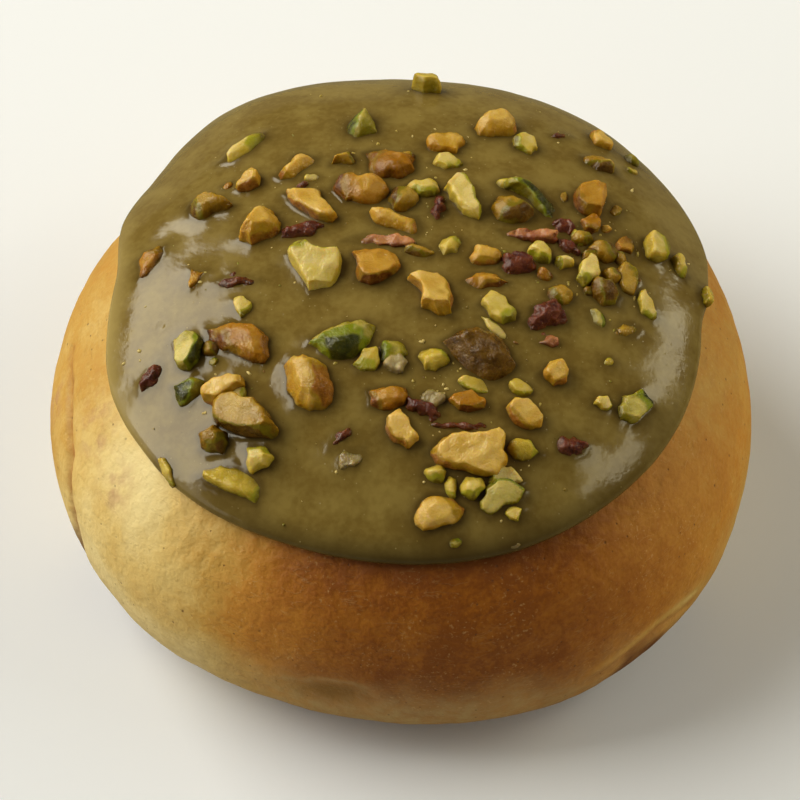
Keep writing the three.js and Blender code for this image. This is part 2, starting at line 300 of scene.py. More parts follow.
def bakeCrust(piece):
    points = corners(piece) / mm
    points[:, 0] -= bunForm["centre"][0]
    points[:, 1] -= bunForm["centre"][1]
    bearing = bearingOf(points[:, 0], points[:, 1])
    level = points[:, 2]
    drift = noiseAt(points, *crust["drift"])
    flutter = noiseAt(points, *crust["flutter"])

    bake = np.interp(bearing + crust["bakeDrift"] * drift, *zip(*crust["bake"]))
    paler, strip = crust["paler"], crust["strip"]
    bake -= paler["by"] * smoothStep(-level - paler["ragged"] * drift, -paler["from"], -paler["to"])
    height = np.interp(bearing, *zip(*strip["line"]))
    first, last, fade = strip["line"][0][0], strip["line"][-1][0], strip["fade"]
    along = smoothStep(bearing, first - fade, first + fade)
    along *= 1 - smoothStep(bearing, last - fade, last + fade)
    bake -= strip["paler"] * along * np.exp(-(((level - height) / strip["width"]) ** 2))
    slow, quick = crust["unsteady"]
    setAttribute(piece, "bake", bake + slow * drift + quick * flutter)

    dusty, dimple = crust["dusty"], crust["dimple"]
    slow, quick = dusty["ragged"]
    dust = smoothStep(-level - slow * drift - quick * flutter, -dusty["from"], -dusty["to"])
    dust *= dusty["rest"] + (1 - dusty["rest"]) * hump(bearing, dusty["bearing"], dusty["spread"])
    rim, inside = crust["rim"], crust["inside"]
    aside = (bearing - dimple["bearing"]) / dimple["spread"]
    away = np.hypot(aside, (level - dimple["level"]) / dimple["halfHeight"])
    away += rim["ragged"] * flutter
    flour = rim["dust"] * np.exp(-(((away - rim["at"]) / rim["width"]) ** 2))
    dust = np.maximum(dust, flour * (level > dimple["level"]))
    dust *= 1 - inside["cleaner"] * np.exp(-((away / inside["reach"]) ** 2))
    # Painted shade inside the dimple
    setAttribute(piece, "hollow", np.exp(-((away / inside["hollow"]) ** 2)))
    setAttribute(piece, "dust", dust)

    scorched, under = crust["scorched"], crust["underGlaze"]
    rises = sum(rise * hump(bearing, at, spread) for at, spread, rise in scorched["rises"])
    edge = scorched["level"] + rises
    burnt = smoothStep(edge - level + scorched["ragged"] * flutter, *scorched["soft"])
    # Painted shadow: a darker band on the crust under the glaze's front edge
    shaded = under["share"] * smoothStep(level + flutter, *under["levels"])
    shaded *= hump(bearing, under["bearing"], under["spread"])
    # The scorched foot is the crust's own colour; the band under the glaze is painted shadow
    setAttribute(piece, "scorchAndShadow", np.maximum(burnt, shaded))

    stain = np.zeros_like(level)
    for at, height, reach in crust["stains"]:
        away = np.hypot(((bearing - at + 540) % 360 - 180) * math.radians(bunForm["radius"]), level - height)
        stain = np.maximum(stain, np.exp(-((away / reach) ** 2)))
    setAttribute(piece, "stain", stain)
    # Painted shade in the creases, darker where a crease is deeper
    setAttribute(piece, "creaseShade", np.clip(creaseDepth(bearing, level) * crust["creaseShadeGain"], 0, 1))


# The box that the bun stays inside, but for its foot, which is cut level later
def insideBox():
    margin = 0.02 * mm
    low, high = np.array(cadBox[0]), np.array(cadBox[1])
    return np.array([low[0] + margin, low[1] + margin, -1]), high - margin


def makeCrust():
    piece = addSphere("bun_crust", crust["sectors"], crust["rings"])
    ball = corners(piece)
    bearing = bearingOf(ball[:, 0], ball[:, 1])
    turn = np.degrees(np.arccos(np.clip(ball[:, 2], -1, 1)))
    marks = [(0, 0), crust["sideFrom"], crust["sideTo"], (180, 180)]
    lean = np.radians(np.interp(turn, [mark[0] for mark in marks], [mark[1] for mark in marks]))
    above = lean <= math.pi / 2
    roundness = np.where(above, bunForm["crownRound"], bunForm["footRound"])
    height = np.where(above, bunForm["crown"], bunForm["foot"])
    cosine = np.cos(lean)
    level = bunForm["widest"] + height * np.sign(cosine) * np.abs(cosine) ** (2 / roundness)
    reach = bunRadiusAt(bearing) * np.abs(np.sin(lean)) ** (2 / roundness)
    angle = np.radians(bearing)
    points = np.stack([reach * np.cos(angle), reach * np.sin(angle), level], -1)
    moveCorners(piece, points)

    relief = -crust["settle"] - creaseDepth(bearing, level)
    for size, tall, seed in crust["lumps"]:
        relief += tall * noiseAt(points, size, seed)
    dimple = crust["dimple"]
    rise = (level - dimple["level"]) / dimple["halfHeight"]
    hollow = hump(bearing, dimple["bearing"], dimple["spread"]) * np.exp(-(rise**2))
    relief -= dimple["depth"] * hollow
    strands = crust["strands"]
    drawn = points * np.array([1 / strands["wide"], 1 / strands["wide"], 1 / strands["tall"]])
    pleated = noiseAt(drawn, 1, strands["seed"]) - strands["over"]
    for at, spread, lowest, tall in crust["pleats"]:
        seen = smoothStep(level, lowest - strands["fade"], lowest)
        relief += tall * pleated * hump(bearing, at, spread) * seen
    points = points + cornerNormals(piece) * relief[:, None]
    points[:, 0] += bunForm["centre"][0]
    points[:, 1] += bunForm["centre"][1]
    moveCorners(piece, np.clip(points * mm, *insideBox()))

    selectOnly(piece)
    bpy.ops.object.mode_set(mode="EDIT")
    bpy.ops.mesh.select_all(action="SELECT")
    bpy.ops.mesh.bisect(
        plane_co=(0, 0, 0), plane_no=(0, 0, 1), use_fill=True, clear_inner=True, threshold=1e-6
    )
    bpy.ops.object.mode_set(mode="OBJECT")
    bakeCrust(piece)
    smoothShade(piece)
    return piece


# The chopped nuts. A row is: across, back, tall, shape, where its skin side looks (bearing, tilt),
# shade 0 to 1, then its outline as seen from above, or long, wide and turn for a plain bit
nuts = {
    "pale": [
        (-20.5, 23.5, 2, "ridge", 20, 20, 0.8,
         [(-3.3, -2), (-2.2, -0.5), (-0.2, 1.7), (2.9, 2.6), (3.3, 1.2), (1.2, -1.3), (-1.2, -2.4)]),
        (-11, -1, 3.5, "cut", 100, 5, 0.9,
         [(-3.6, 3.3), (-1, 3.8), (0.2, 2.7), (3.4, 2.7), (3.4, -0.9), (1.1, -3.4), (-0.4, -3.8),
          (-2.5, 0.5)]),
        (-20, -6, 1.5, "cut", 300, 10, 0.7,
         [(-1.3, 1.6), (0.2, 1.7), (1.3, 0.6), (1.1, -0.6), (-0.1, -2), (-0.9, -0.4)]),
        (-20, -18.5, 1.5, "cut", 0, 0, 0.8, (2, 2, 0)),
        (-17.5, -27, 3, "dome", 90, 0, 0.7, (4, 4, 0)),
        (-29, -26, 1, "slab", 270, 10, 0.4, (4.5, 1.5, -65)),
        (-4, -15, 1.5, "cut", 250, 10, 0.2, (4, 3.5, 30)),
        (4, -15, 2, "ridge", 30, 0, 0.3, (5, 4, -25)),
        (9.5, -18.5, 1, "slab", 250, 0, 0.3, (5, 2, -30)),
        (6.5, 3, 1.5, "ridge", 60, 10, 0.4, (4, 3, 45)),
        (3, 13, 2, "dome", 270, 0, 0.6,
         [(-2.5, 0.3), (-1.5, 1.5), (-0.3, 0.9), (0.9, 1.9), (2.1, 0.7), (2.4, -0.6), (1.3, -1.6),
          (-0.4, -1.8), (-1.9, -0.9)]),
        (6, 18, 1.5, "cut", 350, 10, 0.6, (4.5, 2.5, 0)),
        (8, 11, 3, "cut", 20, 0, 0.9,
         [(-2.7, 2), (-1.3, 3.4), (0.2, 3.6), (1, 2), (1.8, -0.1), (2.7, -2.4), (2.3, -3.6), (1.1, -3.1),
          (-0.6, -1.6), (-1.6, 0.1)]),
        (16.5, 22.5, 2, "cut", 200, 5, 0.5, (3.5, 3, -25)),
        (14, 14.5, 1.5, "ridge", 100, 5, 0.5, (4, 2.5, -25)),
        (18, 2.5, 2.5, "dome", 270, -10, 0.6, (4, 3.5, 35)),
        (21, 1.5, 2, "ridge", 200, 0, 0.8, (3, 2.5, 0)),
        (22.8, 6.2, 1.8, "ridge", 300, 10, 0.1, (3.4, 1.8, -60)),
        (24, 0.5, 2.5, "cut", 250, -10, 0.9,
         [(-1.7, -1.7), (-1.2, 0.7), (0.3, 3.1), (1.4, 2.1), (1.7, -0.3), (0.5, -1.7), (-0.6, -3)]),
        (31.5, -3, 1.5, "cut", 300, 0, 0.8,
         [(-1.4, 0.8), (-0.6, 2.4), (0.3, 1), (1.4, -1.5), (0.7, -2.4), (-1, -1.6)]),
        (33, 7, 3, "cut", 20, 20, 0.7,
         [(-2, 0.3), (-1.5, 1.9), (0.5, 2.1), (2.2, 0.3), (1.4, -1), (0, -2.1), (-1.5, -2)]),
        (36, 6, 2, "dome", 320, 0, 0.5,
         [(-1.5, 0.8), (-0.4, 2.2), (1, 1.5), (1.6, -0.9), (1, -2.1), (-0.5, -1.3)]),
        (12.5, -7, 2, "cut", 330, 10, 0.6,
         [(-2.5, 0.6), (-0.9, 2.6), (1, 1.7), (2.5, -0.3), (2.1, -2.3), (0.7, -2.6), (-1.2, -1.5)]),
        (12, -10, 1, "slab", 60, 0, 0.9, (4.5, 1.5, -45)),
        (15, -18.5, 1.5, "cut", 300, 0, 0.5, (3.5, 2.5, -25)),
        (25.5, -19, 1.5, "cut", 0, 0, 0.8, (2.5, 2, 0)),
        (15.5, -26.5, 2, "dome", 0, 0, 0.4,
         [(-2.4, -0.1), (-1.4, 1.4), (0.7, 1.3), (2.3, -0.3), (0.7, -1.3), (-1.4, -1.4)]),
        (13, -30, 2, "cut", 200, 0, 0.9,
         [(-2.4, -1.3), (-1, 1.5), (0.7, 1.3), (2.3, -0.4), (1, -1.3)]),
        (9, -31.5, 2.5, "dome", 270, 0, 0.6, (3.5, 3, 0)),
        (14, -34, 1.5, "cut", 0, 0, 0.4, (2.5, 2, 0)),
        (4.5, -30, 2, "ridge", 270, 0, 0.4, (3.5, 2.5, 0)),
        (6.5, -31.5, 1.5, "ridge", 270, 0, 0.3, (3.5, 2, 90)),
        (-11.5, 15.5, 0.9, "slab", 90, 0, 0.8, (2.4, 1.3, 5)),
        (30.5, 23, 1, "cut", 200, 0, 0.5, (2, 1.5, 30)),
        (26.4, -13, 0.9, "dome", 90, 0, 0.5, (1.9, 1.6, 0)),
        (-21, -29.5, 2, "ridge", 320, -10, 0.1,
         [(-4.3, 2), (-2.1, 2.4), (0.3, 2.8), (1.8, 1.9), (4, 0), (4.3, -1.5), (3.5, -2.8), (1.1, -1.4),
          (-1.6, -0.3), (-3.4, 0.7)]),
        (3.5, 35.5, 3.4, "cut", 90, -10, 0.3, (4.6, 3.5, 0)),
        (39.6, 2.9, 1.8, "cut", 0, 0, 0.2,
         [(-0.8, -1.9), (0.4, -1.8), (0.9, 0.2), (0.4, 2), (-0.5, 1.5), (-0.9, -0.2)]),
    ],
    "golden": [
        (-13.5, 18, 2, "ridge", 200, 0, 0.8,
         [(-2.8, -1.6), (-0.4, 2.2), (0.7, 2.5), (2.9, 1.1), (2.5, 0.1), (-0.4, -2.4), (-2.3, -2.4)]),
        (-19.5, 16, 2.5, "cut", 270, -10, 0.7,
         [(-1.9, -1.1), (-0.5, 0.8), (0.4, 2.2), (1.6, 0.5), (1.4, -1.1), (0.2, -1.8), (-1.4, -1.7)]),
        (-18, 7, 4, "dome", 300, -20, 0.6,
         [(-2.9, -1.8), (-1.8, 0.9), (-0.8, 2.5), (0.5, 3.2), (1.9, 2.5), (2.9, 0.5), (2.8, -1.3),
          (0.9, -2.2), (-1.2, -3)]),
        (-11.5, 10, 2.5, "cut", 220, -10, 0.7,
         [(-3.7, 3.2), (-1, 3.1), (1.2, 3.1), (1.6, 0.9), (3.7, -2.3), (3, -3.2), (1.2, -2.7), (-1, -0.9),
          (-3.1, 1.6)]),
        (-22, -18, 3.4, "cut", 270, -10, 0.8,
         [(-2.8, 0.4), (-1.2, 1.5), (1.2, 2.1), (2.8, 1.6), (2.9, 0.5), (1, -0.6), (-1.4, -2.1),
          (-2.5, -1.1)]),
        (-11.5, -18, 4.5, "kernel", 350, 28, 0.75,
         [(-3.4, 2.8), (-2.2, 3.9), (-0.5, 4.1), (1.2, 3.4), (2.6, 2), (3.3, -0.1), (3.3, -2),
          (2.2, -3.9), (0.2, -4.1), (-1.9, -3.1), (-2.9, -0.9)]),
        (4, -5.5, 3.5, "cut", 0, -5, 0.85,
         [(-3.3, 2.9), (-1.9, 3.6), (0.9, 3.7), (2.4, 2.2), (3, -0.3), (2.8, -3.4), (0.9, -3),
          (-1.5, -1.8), (-1.3, 0.7)]),
        (11, 1.5, 2, "dome", 270, -10, 0.7,
         [(-2.3, -0.4), (-1.5, 1.5), (0.2, 1.7), (2.3, 0.7), (2.1, -0.9), (0.2, -1.6), (-1.8, -1.6)]),
        (0, -24.5, 3, "cut", 220, -10, 0.9,
         [(-1.8, 1.3), (0.1, 2.7), (1.2, 0.9), (2.6, -1.7), (1, -2.9), (-0.7, -2), (-1.8, -0.2)]),
        (6, 21.5, 2, "cut", 90, 10, 0.5,
         [(-2.8, 0), (-2, 1.1), (0.3, 1.7), (1.6, 1.9), (2.9, 0.8), (1.6, -1.9), (-1.6, -1.6)]),
        (-0.5, 7, 2, "ridge", 330, 0, 0.6, (7.5, 3.5, -25)),
        (12.5, 26, 3.5, "dome", 0, -20, 0.8,
         [(-3, -0.6), (-2, 1.2), (-0.3, 2.2), (1.9, 2.7), (3, 0.8), (2.8, -1), (0.9, -2), (-1, -2.6),
          (-2.3, -2.4)]),
        (26.5, 27.5, 2, "cut", 130, 10, 0.8, (4, 3, -25)),
        (19.5, -16, 2.5, "cut", 300, -10, 0.8,
         [(-1.8, -0.1), (-0.9, 1.4), (0.8, 1.9), (1.8, 0.3), (1.5, -1.1), (-0.3, -1.9), (-1.5, -0.8)]),
        (15.5, -22, 2.5, "cut", 230, -10, 0.9,
         [(-2.5, 0.8), (-1.5, 1.9), (0.5, 2.1), (2.5, -0.4), (2.2, -1.7), (0.7, -2.2), (-1.2, -1.4)]),
        (8.5, -27.5, 3.5, "cut", 230, -10, 0.9,
         [(-5, -0.1), (-3.6, 2.1), (-0.6, 2.6), (2.3, 2.4), (3.9, 3.1), (4.8, 2.5), (4.5, 0), (5, -1.6),
          (3.7, -3.2), (0.8, -2.9), (-2, -2.2), (-4.2, -1.4)]),
        (26.5, 8.5, 1, "cut", 300, 0, 0.6, (2, 1.6, 40)),
        (5, -34.5, 2.5, "dome", 20, 0, 0.95,
         [(-3.4, -0.6), (-2.7, 1.4), (-0.6, 2.4), (1.8, 1.9), (3.3, 0.7), (2.7, -0.9), (0.6, -1.6),
          (-2.2, -2.5)]),
    ],
    "amber": [
        (-32, 4.5, 1.5, "dome", 60, 20, 0.3,
         [(-2, 1.1), (-1, 2.5), (1.9, 2.7), (1.9, 1.3), (0.7, -1), (-0.5, -2.4), (-1.7, -2.5)]),
        (-26, 0, 1, "slab", 90, 0, 0.7, [(-1, 1.9), (1.3, 1), (0.2, -0.8), (-1.1, -2)]),
        (-20.5, -11.5, 2.5, "dome", 200, 20, 0.45,
         [(-4.5, 3), (-1.9, 3.3), (0.9, 2.9), (3.2, 1.9), (4.4, 0.4), (4.4, -2), (3.7, -3.4), (2.2, -3),
          (-0.2, -1.6), (-2.2, -0.8), (-4.2, 1.1)]),
        (-3, -1, 2.5, "cut", 270, -10, 0.8,
         [(-3.3, 2.9), (-1, 3), (1.7, 2.8), (3.3, 0.3), (1.7, -1.4), (-0.9, -2.8), (-2.9, -1.8),
          (-2.5, 0.4)]),
        (11, -2.5, 1.5, "ridge", 300, 0, 0.75,
         [(-3.3, -0.5), (-1.8, 1.1), (-0.2, 1.7), (1.6, 0.9), (3.3, -0.1), (1.6, -1.1), (-0.9, -1.7)]),
        (-1.5, -20.5, 2.5, "dome", 200, 0, 0.5, (6, 3.5, 0)),
        (8.5, -21, 2, "cut", 270, 0, 0.35, (4.5, 3, 0)),
        (-1.5, 17.5, 2.5, "dome", 160, 10, 0.1,
         [(-3.6, 2.6), (-1.5, 3), (1.2, 1.8), (3.6, 0.9), (3.5, -1.6), (1.5, -3.1), (-0.8, -2.9),
          (-2.8, -1.3)]),
        (-5, 12.5, 3, "dome", 170, 10, 0.8,
         [(-3.9, 0.5), (-3.3, 2.3), (-1.8, 2.6), (-0.4, 1.6), (1.6, 2.3), (3.2, 1.4), (3.8, -0.3),
          (2.3, -2.3), (-0.1, -2.6), (-2.3, -2)]),
        (24.5, 13, 3.5, "slab", 200, -10, 0.6,
         [(-2, 1.2), (-1.4, 2.5), (2.1, 2.3), (2.3, 1), (1.7, -1.4), (1.1, -2.9), (-1, -2.9),
          (-2.2, -1.6)]),
        (24.5, 8.5, 2, "cut", 270, 0, 0.5, (3, 3, 0)),
        (18.5, -1, 1.5, "dome", 0, 0, 0.2, (2.5, 2, 0)),
        (29, 6.6, 1, "slab", 0, 0, 0.4, (4.6, 2.8, 55)),
        (-22.5, 16, 1, "cut", 60, 0, 0.6, (2, 1.5, 20)),
    ],
    "green": [
        (-26.5, -11.5, 3, "cut", 350, 10, 0.8,
         [(-2.1, 2), (-0.9, 2.9), (1.5, 2), (2.1, 0.7), (1.4, -1.9), (0, -2.9), (-1.6, -2.1)]),
        (-26.5, -17, 2, "dome", 200, 60, 0.4,
         [(-2.3, 1.3), (-0.8, 1.7), (0.8, 2.1), (2.3, 1.3), (1.8, -0.5), (0.4, -1.7), (-1.1, -2),
          (-1.9, -0.5)]),
        (-7.5, -12, 3, "dome", 275, 55, 0.75,
         [(-4.5, -0.5), (-2.8, 1), (-1.3, 1.9), (0.8, 2.9), (3.3, 3), (4.5, 2.1), (4.2, 0.4), (3, -1.7),
          (1.3, -2.9), (-0.4, -3), (-2.4, -2.1)]),
        (-1, -14, 1.5, "dome", 200, 30, 0.4, (4, 4, 0)),
        (-5, 25.5, 3, "ridge", 170, 10, 0.6,
         [(-2.1, -1.3), (-1.7, 1.2), (-0.1, 1.9), (0.8, 3), (1.6, 1.3), (2.2, -1.5), (0.2, -2.2),
          (-1, -2.9)]),
        (30.5, 26, 1.5, "dome", 60, 30, 0.1, (2.5, 2, -45)),
        (25, -6.5, 1, "ridge", 0, 0, 0.7, (3.5, 2.5, -65)),
        (29.5, -18.5, 2, "cut", 30, 30, 0.6,
         [(-2.5, -0.3), (-1.9, 1.4), (0.7, 2.6), (2.5, 0.7), (1, -1), (-0.6, -2.6), (-2.2, -2.1)]),
        (12.5, -32.5, 2, "cut", 60, 0, 0.9,
         [(-3.1, -1.1), (-2, 1.6), (0.7, 2.6), (3.1, 1.2), (2.1, -0.7), (0.4, -0.9), (-1.6, -2.5)]),
        (-23.5, -13.5, 1, "cut", 90, 0, 0.6, (1.8, 1.3, 60)),
        (7, -37.5, 1.1, "ridge", 60, 10, 0.6, (2, 1.6, 20)),
        (17, 12, 2.5, "kernel", 0, 62, 0.7,
         [(-4.1, 2.5), (-2.6, 3.5), (-0.5, 3.2), (1.4, 1.9), (3.1, -0.2), (3.9, -1.7), (3.5, -3.8),
          (2.1, -3.3), (0.2, -1.1), (-1.5, 0.9), (-3.6, 1.3)]),
    ],
    "olive": [
        (-24.5, 12.5, 3, "dome", 200, 0, 0.6,
         [(-3.2, 0.3), (-2.4, 1.9), (-0.9, 2.4), (1.2, 1.3), (3.3, -0.9), (2.4, -1.7), (-0.9, -2.5),
          (-2.7, -1.6)]),
        (-24, -11.5, 1.5, "dome", 0, 30, 0.5, (2.5, 2.5, 0)),
        (-23, -24, 3.2, "dome", 300, 20, 0.4, (4.5, 4, 0)),
        (2.5, 2, 1.5, "ridge", 250, 10, 0.6, (4.5, 2.5, -20)),
        (-7.5, 18.5, 2, "ridge", 20, 0, 0.8,
         [(-1.7, -0.9), (-0.2, 1.2), (1.2, 1.7), (1.8, -0.2), (1.5, -1.1)]),
        (1, 19, 1.5, "dome", 0, 0, 0.6, (2.5, 2, 0)),
        (0.5, 11, 2.5, "dome", 160, 30, 0.8, (4, 4.5, 0)),
        (26, 21.5, 2, "dome", 270, 10, 0.7,
         [(-2.4, 1.1), (-1.2, 1.5), (2.4, 0.6), (2.2, -0.9), (-0.2, -1.6), (-2.2, -0.6)]),
        (14.5, 9.5, 3, "dome", 300, 40, 0.6,
         [(-3, 0.2), (-2.1, 2.3), (-0.3, 2.5), (1.7, 1.3), (3.1, -0.3), (2, -1.7), (0, -2.4),
          (-2, -1.8)]),
        (23.5, 6, 2, "dome", 0, 30, 0.7, (3.5, 2.5, 0)),
        (26, 4, 2.5, "dome", 30, 40, 0.4, (4, 4, 0)),
        (27, 0.5, 2, "dome", 60, 30, 0.7, (3, 2.5, 0)),
        (26, -2.5, 3, "dome", 330, 60, 0.2, (4.5, 4, 0)),
        (29, 1, 1.5, "cut", 30, 20, 0.7, (5.5, 3, 100)),
        (20.5, -4, 2, "dome", 200, 0, 0.7, (4, 3, 0)),
        (29, -7.5, 1, "ridge", 20, 0, 0.8, (3.5, 2.5, 25)),
        (28, 12.5, 1, "slab", 0, 0, 0.5, (2.6, 1.5, 60)),
        (21.3, 13.3, 1, "slab", 90, 0, 0.5, (2.2, 1.2, 80)),
        (24.2, 3.2, 1.4, "cut", 90, 30, 0.4, (2.4, 1.6, 20)),
        (28.3, 3.6, 1.6, "dome", 90, 30, 0.3, (2.6, 2, 120)),
        (24.3, -2.6, 1.2, "cut", 270, 10, 0.3, (2, 1.6, 0)),
        (-19, -22, 4.8, "cut", 250, -10, 0.75,
         [(-4.4, 2), (-3.1, 3.2), (-0.8, 2.8), (1.8, 1.8), (3, 0.3), (4.4, -2), (3.8, -3.2), (1.3, -2.7),
          (-1.1, -2.1), (-3.1, -1.2), (-4.3, 0.1)]),
        (10, -14, 4.5, "kernel", 0, 90, 0.3,
         [(-5, 1.8), (-3.1, 3.4), (-0.2, 4.2), (2.4, 3.3), (4, 1), (5, -1.3), (3.8, -3.2), (1.2, -4.3),
          (-0.9, -3.3), (-3.4, -0.8)]),
    ],
    "skin": [
        (-12.5, 6, 1.5, "crumpled", 0, 90, 0.1, (6, 3, 10)),
        (-21.5, -1.5, 1, "crumpled", 0, 90, 0.3, (6, 2, -5)),
        (-31.5, -13.5, 1.5, "crumpled", 0, 90, 0.1, (4, 2.5, 60)),
        (-7.5, -25.5, 1, "crumpled", 0, 90, 0.25, (3.5, 2, 40)),
        (3, -22, 1.5, "crumpled", 0, 90, 0.5, (5, 2.5, -30)),
        (7, -24, 1, "crumpled", 0, 90, 0.4, (7, 1.5, 0)),
        (-2.5, 4, 1, "bark", 0, -90, 1, (9, 2, -3)),
        (5, 10, 1.5, "crumpled", 0, 90, 0.3, (5, 2, 90)),
        (21, 26.5, 1, "crumpled", 0, 90, 0.2, (3, 1.5, 30)),
        (21, 7.5, 2, "crumpled", 0, 90, 0.45, (3, 3, 0)),
        (16.5, 5.5, 1.5, "bark", 0, -90, 0.9, (7.5, 2, -5)),
        (21.5, 4.5, 1.5, "crumpled", 0, 90, 0.1, (5, 2, -40)),
        (15, 0.5, 2.5, "crumpled", 0, 90, 0.35, (4.5, 4, 0)),
        (18.5, -7.5, 3, "kernel", 0, 90, 0.5, (6, 5, 0)),
        (18.5, -11, 1, "bark", 0, -90, 0.8, (4, 2, -10)),
        (21.5, -25, 1.5, "crumpled", 0, 90, 0.1, (4, 3, 0)),
        (-12.5, 14.3, 0.9, "crumpled", 0, 90, 0.1, (2.4, 1.1, 15)),
        (-21.5, -0.3, 0.8, "crumpled", 0, 90, 0.5, (2, 1.1, 60)),
    ],
    "coated": [  # flakes under a film of icing
        (-6, -28, 0.9, "slab", 90, 0, 0.7, (3.6, 2.9, 10)),
        (4, -20.5, 1.2, "cut", 90, 0, 0.4, (3.8, 2.8, 0)),
        (-0.5, -15.8, 1.8, "cut", 90, 0, 0.9, (3.2, 2.6, 40)),
        (14, -37.3, 0.7, "slab", 90, 0, 0.6, (2.8, 1, 15)),
    ],
}

# How each kind is chopped: the corners of a plain bit and how ragged they are, how rough its faces
# are and how deep their pits, and how many flat breaks it has
chop = {
    "pale": {"corners": 6, "ragged": 0.2, "rough": 0.12, "pits": 0.03, "breaks": 5},
    "golden": {"corners": 6, "ragged": 0.2, "rough": 0.13, "pits": 0.05, "breaks": 4},
    "amber": {"corners": 7, "ragged": 0.18, "rough": 0.15, "pits": 0.08, "breaks": 4},
    "green": {"corners": 7, "ragged": 0.2, "rough": 0.14, "pits": 0.06, "breaks": 5},
    "olive": {"corners": 8, "ragged": 0.16, "rough": 0.12, "pits": 0.06, "breaks": 4},
    "skin": {"corners": 8, "ragged": 0.26, "rough": 0.3, "pits": 0.35, "breaks": 3},
    "coated": {"corners": 6, "ragged": 0.2, "rough": 0.16, "pits": 0.2, "breaks": 6},
}
breakDepth = {"dome": (0.9, 0.99), "kernel": (0.95, 1), "other": (0.8, 0.96)}
breakRise = {"first": (0.86, 0.97), "later": (0.2, 0.9)}  # the first one looks up, for a flat top

# The rings of each shape from the foot up: height share, size share, and how far the sides close
shapes = {
    "cut": [(0, 0.9, 0), (0.45, 1, 0), (0.85, 0.94, 0), (1, 0.84, 0)],
    "slab": [(0, 0.94, 0), (0.5, 1, 0), (1, 0.9, 0)],
    "dome": [(0, 0.84, 0), (0.3, 1, 0), (0.7, 0.86, 0), (1, 0.5, 0)],
    "ridge": [(0, 0.92, 0), (0.35, 1, 0), (0.75, 0.85, 0.3), (1, 0.62, 0.75)],
    "crumpled": [(0, 0.9, 0), (0.4, 1, 0), (1, 0.7, 0.3)],
    "bark": [(0, 0.95, 0), (0.5, 1, 0), (1, 0.86, 0.1)],
    "kernel": [(0, 0.86, 0), (0.3, 1, 0), (0.65, 0.85, 0.1), (1, 0.55, 0.3)],
}
bite = {
    "share": 0.28,  # of its height that a piece sinks into the glaze
    "least": 0.45,
    "most": 1.2,
    "side": 1.3,  # a side longer than this is broken
    "at": (0.35, 0.65),  # of its length
    "out": (-0.16, 0.13),
    "slope": 0.26,  # of the top, either way
}
plainBit = {"jitter": 0.3, "size": 1.04}
nutSeed = 11
grain = {
    "voxel": 0.22,
    "finerBelow": 3,
    "finerVoxel": 0.17,
    "lumps": (1.3, 7),  # size, seed
    "fineLumps": (0.6, 8),
    "fineShare": 0.3,
    "pitted": (1.4, 9),
    "pitEdge": (0.1, 0.5),
    "chipped": (0.6, 10),
    "chipEdge": (-0.2, 0.4),
    "chip": 0.3,
    "ridge": (0.06, 0.3),  # from no ridge to a sharp one
    "underTop": 0.05,  # how far the highest piece stays below the box's top
}
nutMarks = {  # where a piece's skin lies, its tone with painted light on its tops, and its wet foot with painted shade
    "ragged": (1.3, 5),  # size, seed
    "skin": {"looks": 0.55, "lies": 0.6, "allRound": 1.3, "ragged": 0.3, "edge": (0.34, 0.92)},
    # Painted light: how much up-facing and higher corners make the flesh paler
    "topLightPaint": {"looks": 0.8, "level": 0.8, "lies": 0.4},
    "patches": {"size": 2.8, "seed": 6, "share": 0.4},
    # Wetted by the glaze and painted contact shade: where the foot of a piece darkens
    "wetShadedFoot": {"ragged": 0.25, "edge": (-0.1, 0.9)},
}


# A long side of an outline is broken once, a little in or out
def breakSides(points, draw):
    broken = []
    for here, there in zip(points, np.roll(points, -1, 0)):
        broken.append(here)
        run = there - here
        if math.hypot(*run) > bite["side"]:
            share = draw.uniform(*bite["at"])
            out = draw.uniform(*bite["out"])
            broken.append(here + run * share + np.array([run[1], -run[0]]) * out)
    return np.array(broken)


def outlineOf(plan, kind, draw):
    if isinstance(plan, list):
        points = np.array(plan, float)
    else:
        long, wide, turn = plan
        count = chop[kind]["corners"]
        ragged = chop[kind]["ragged"]
        start = draw.uniform(0, math.tau)
        points = []
        for i in range(count):
            angle = start + math.tau * (i + draw.uniform(-plainBit["jitter"], plainBit["jitter"])) / count
            size = plainBit["size"] + draw.uniform(-ragged, ragged)
            points.append((size * long / 2 * math.cos(angle), size * wide / 2 * math.sin(angle)))
        c, s = math.cos(math.radians(turn)), math.sin(math.radians(turn))
        points = np.array(points) @ np.array([[c, s], [-s, c]])
    shifted = np.roll(points, -1, 0)
    area = np.sum(points[:, 0] * shifted[:, 1] - shifted[:, 0] * points[:, 1])
    return breakSides(points if area > 0 else points[::-1], draw)


def longAxis(outline):
    spread = outline - outline.mean(0)
    return np.linalg.eigh(spread.T @ spread)[1][:, 1]


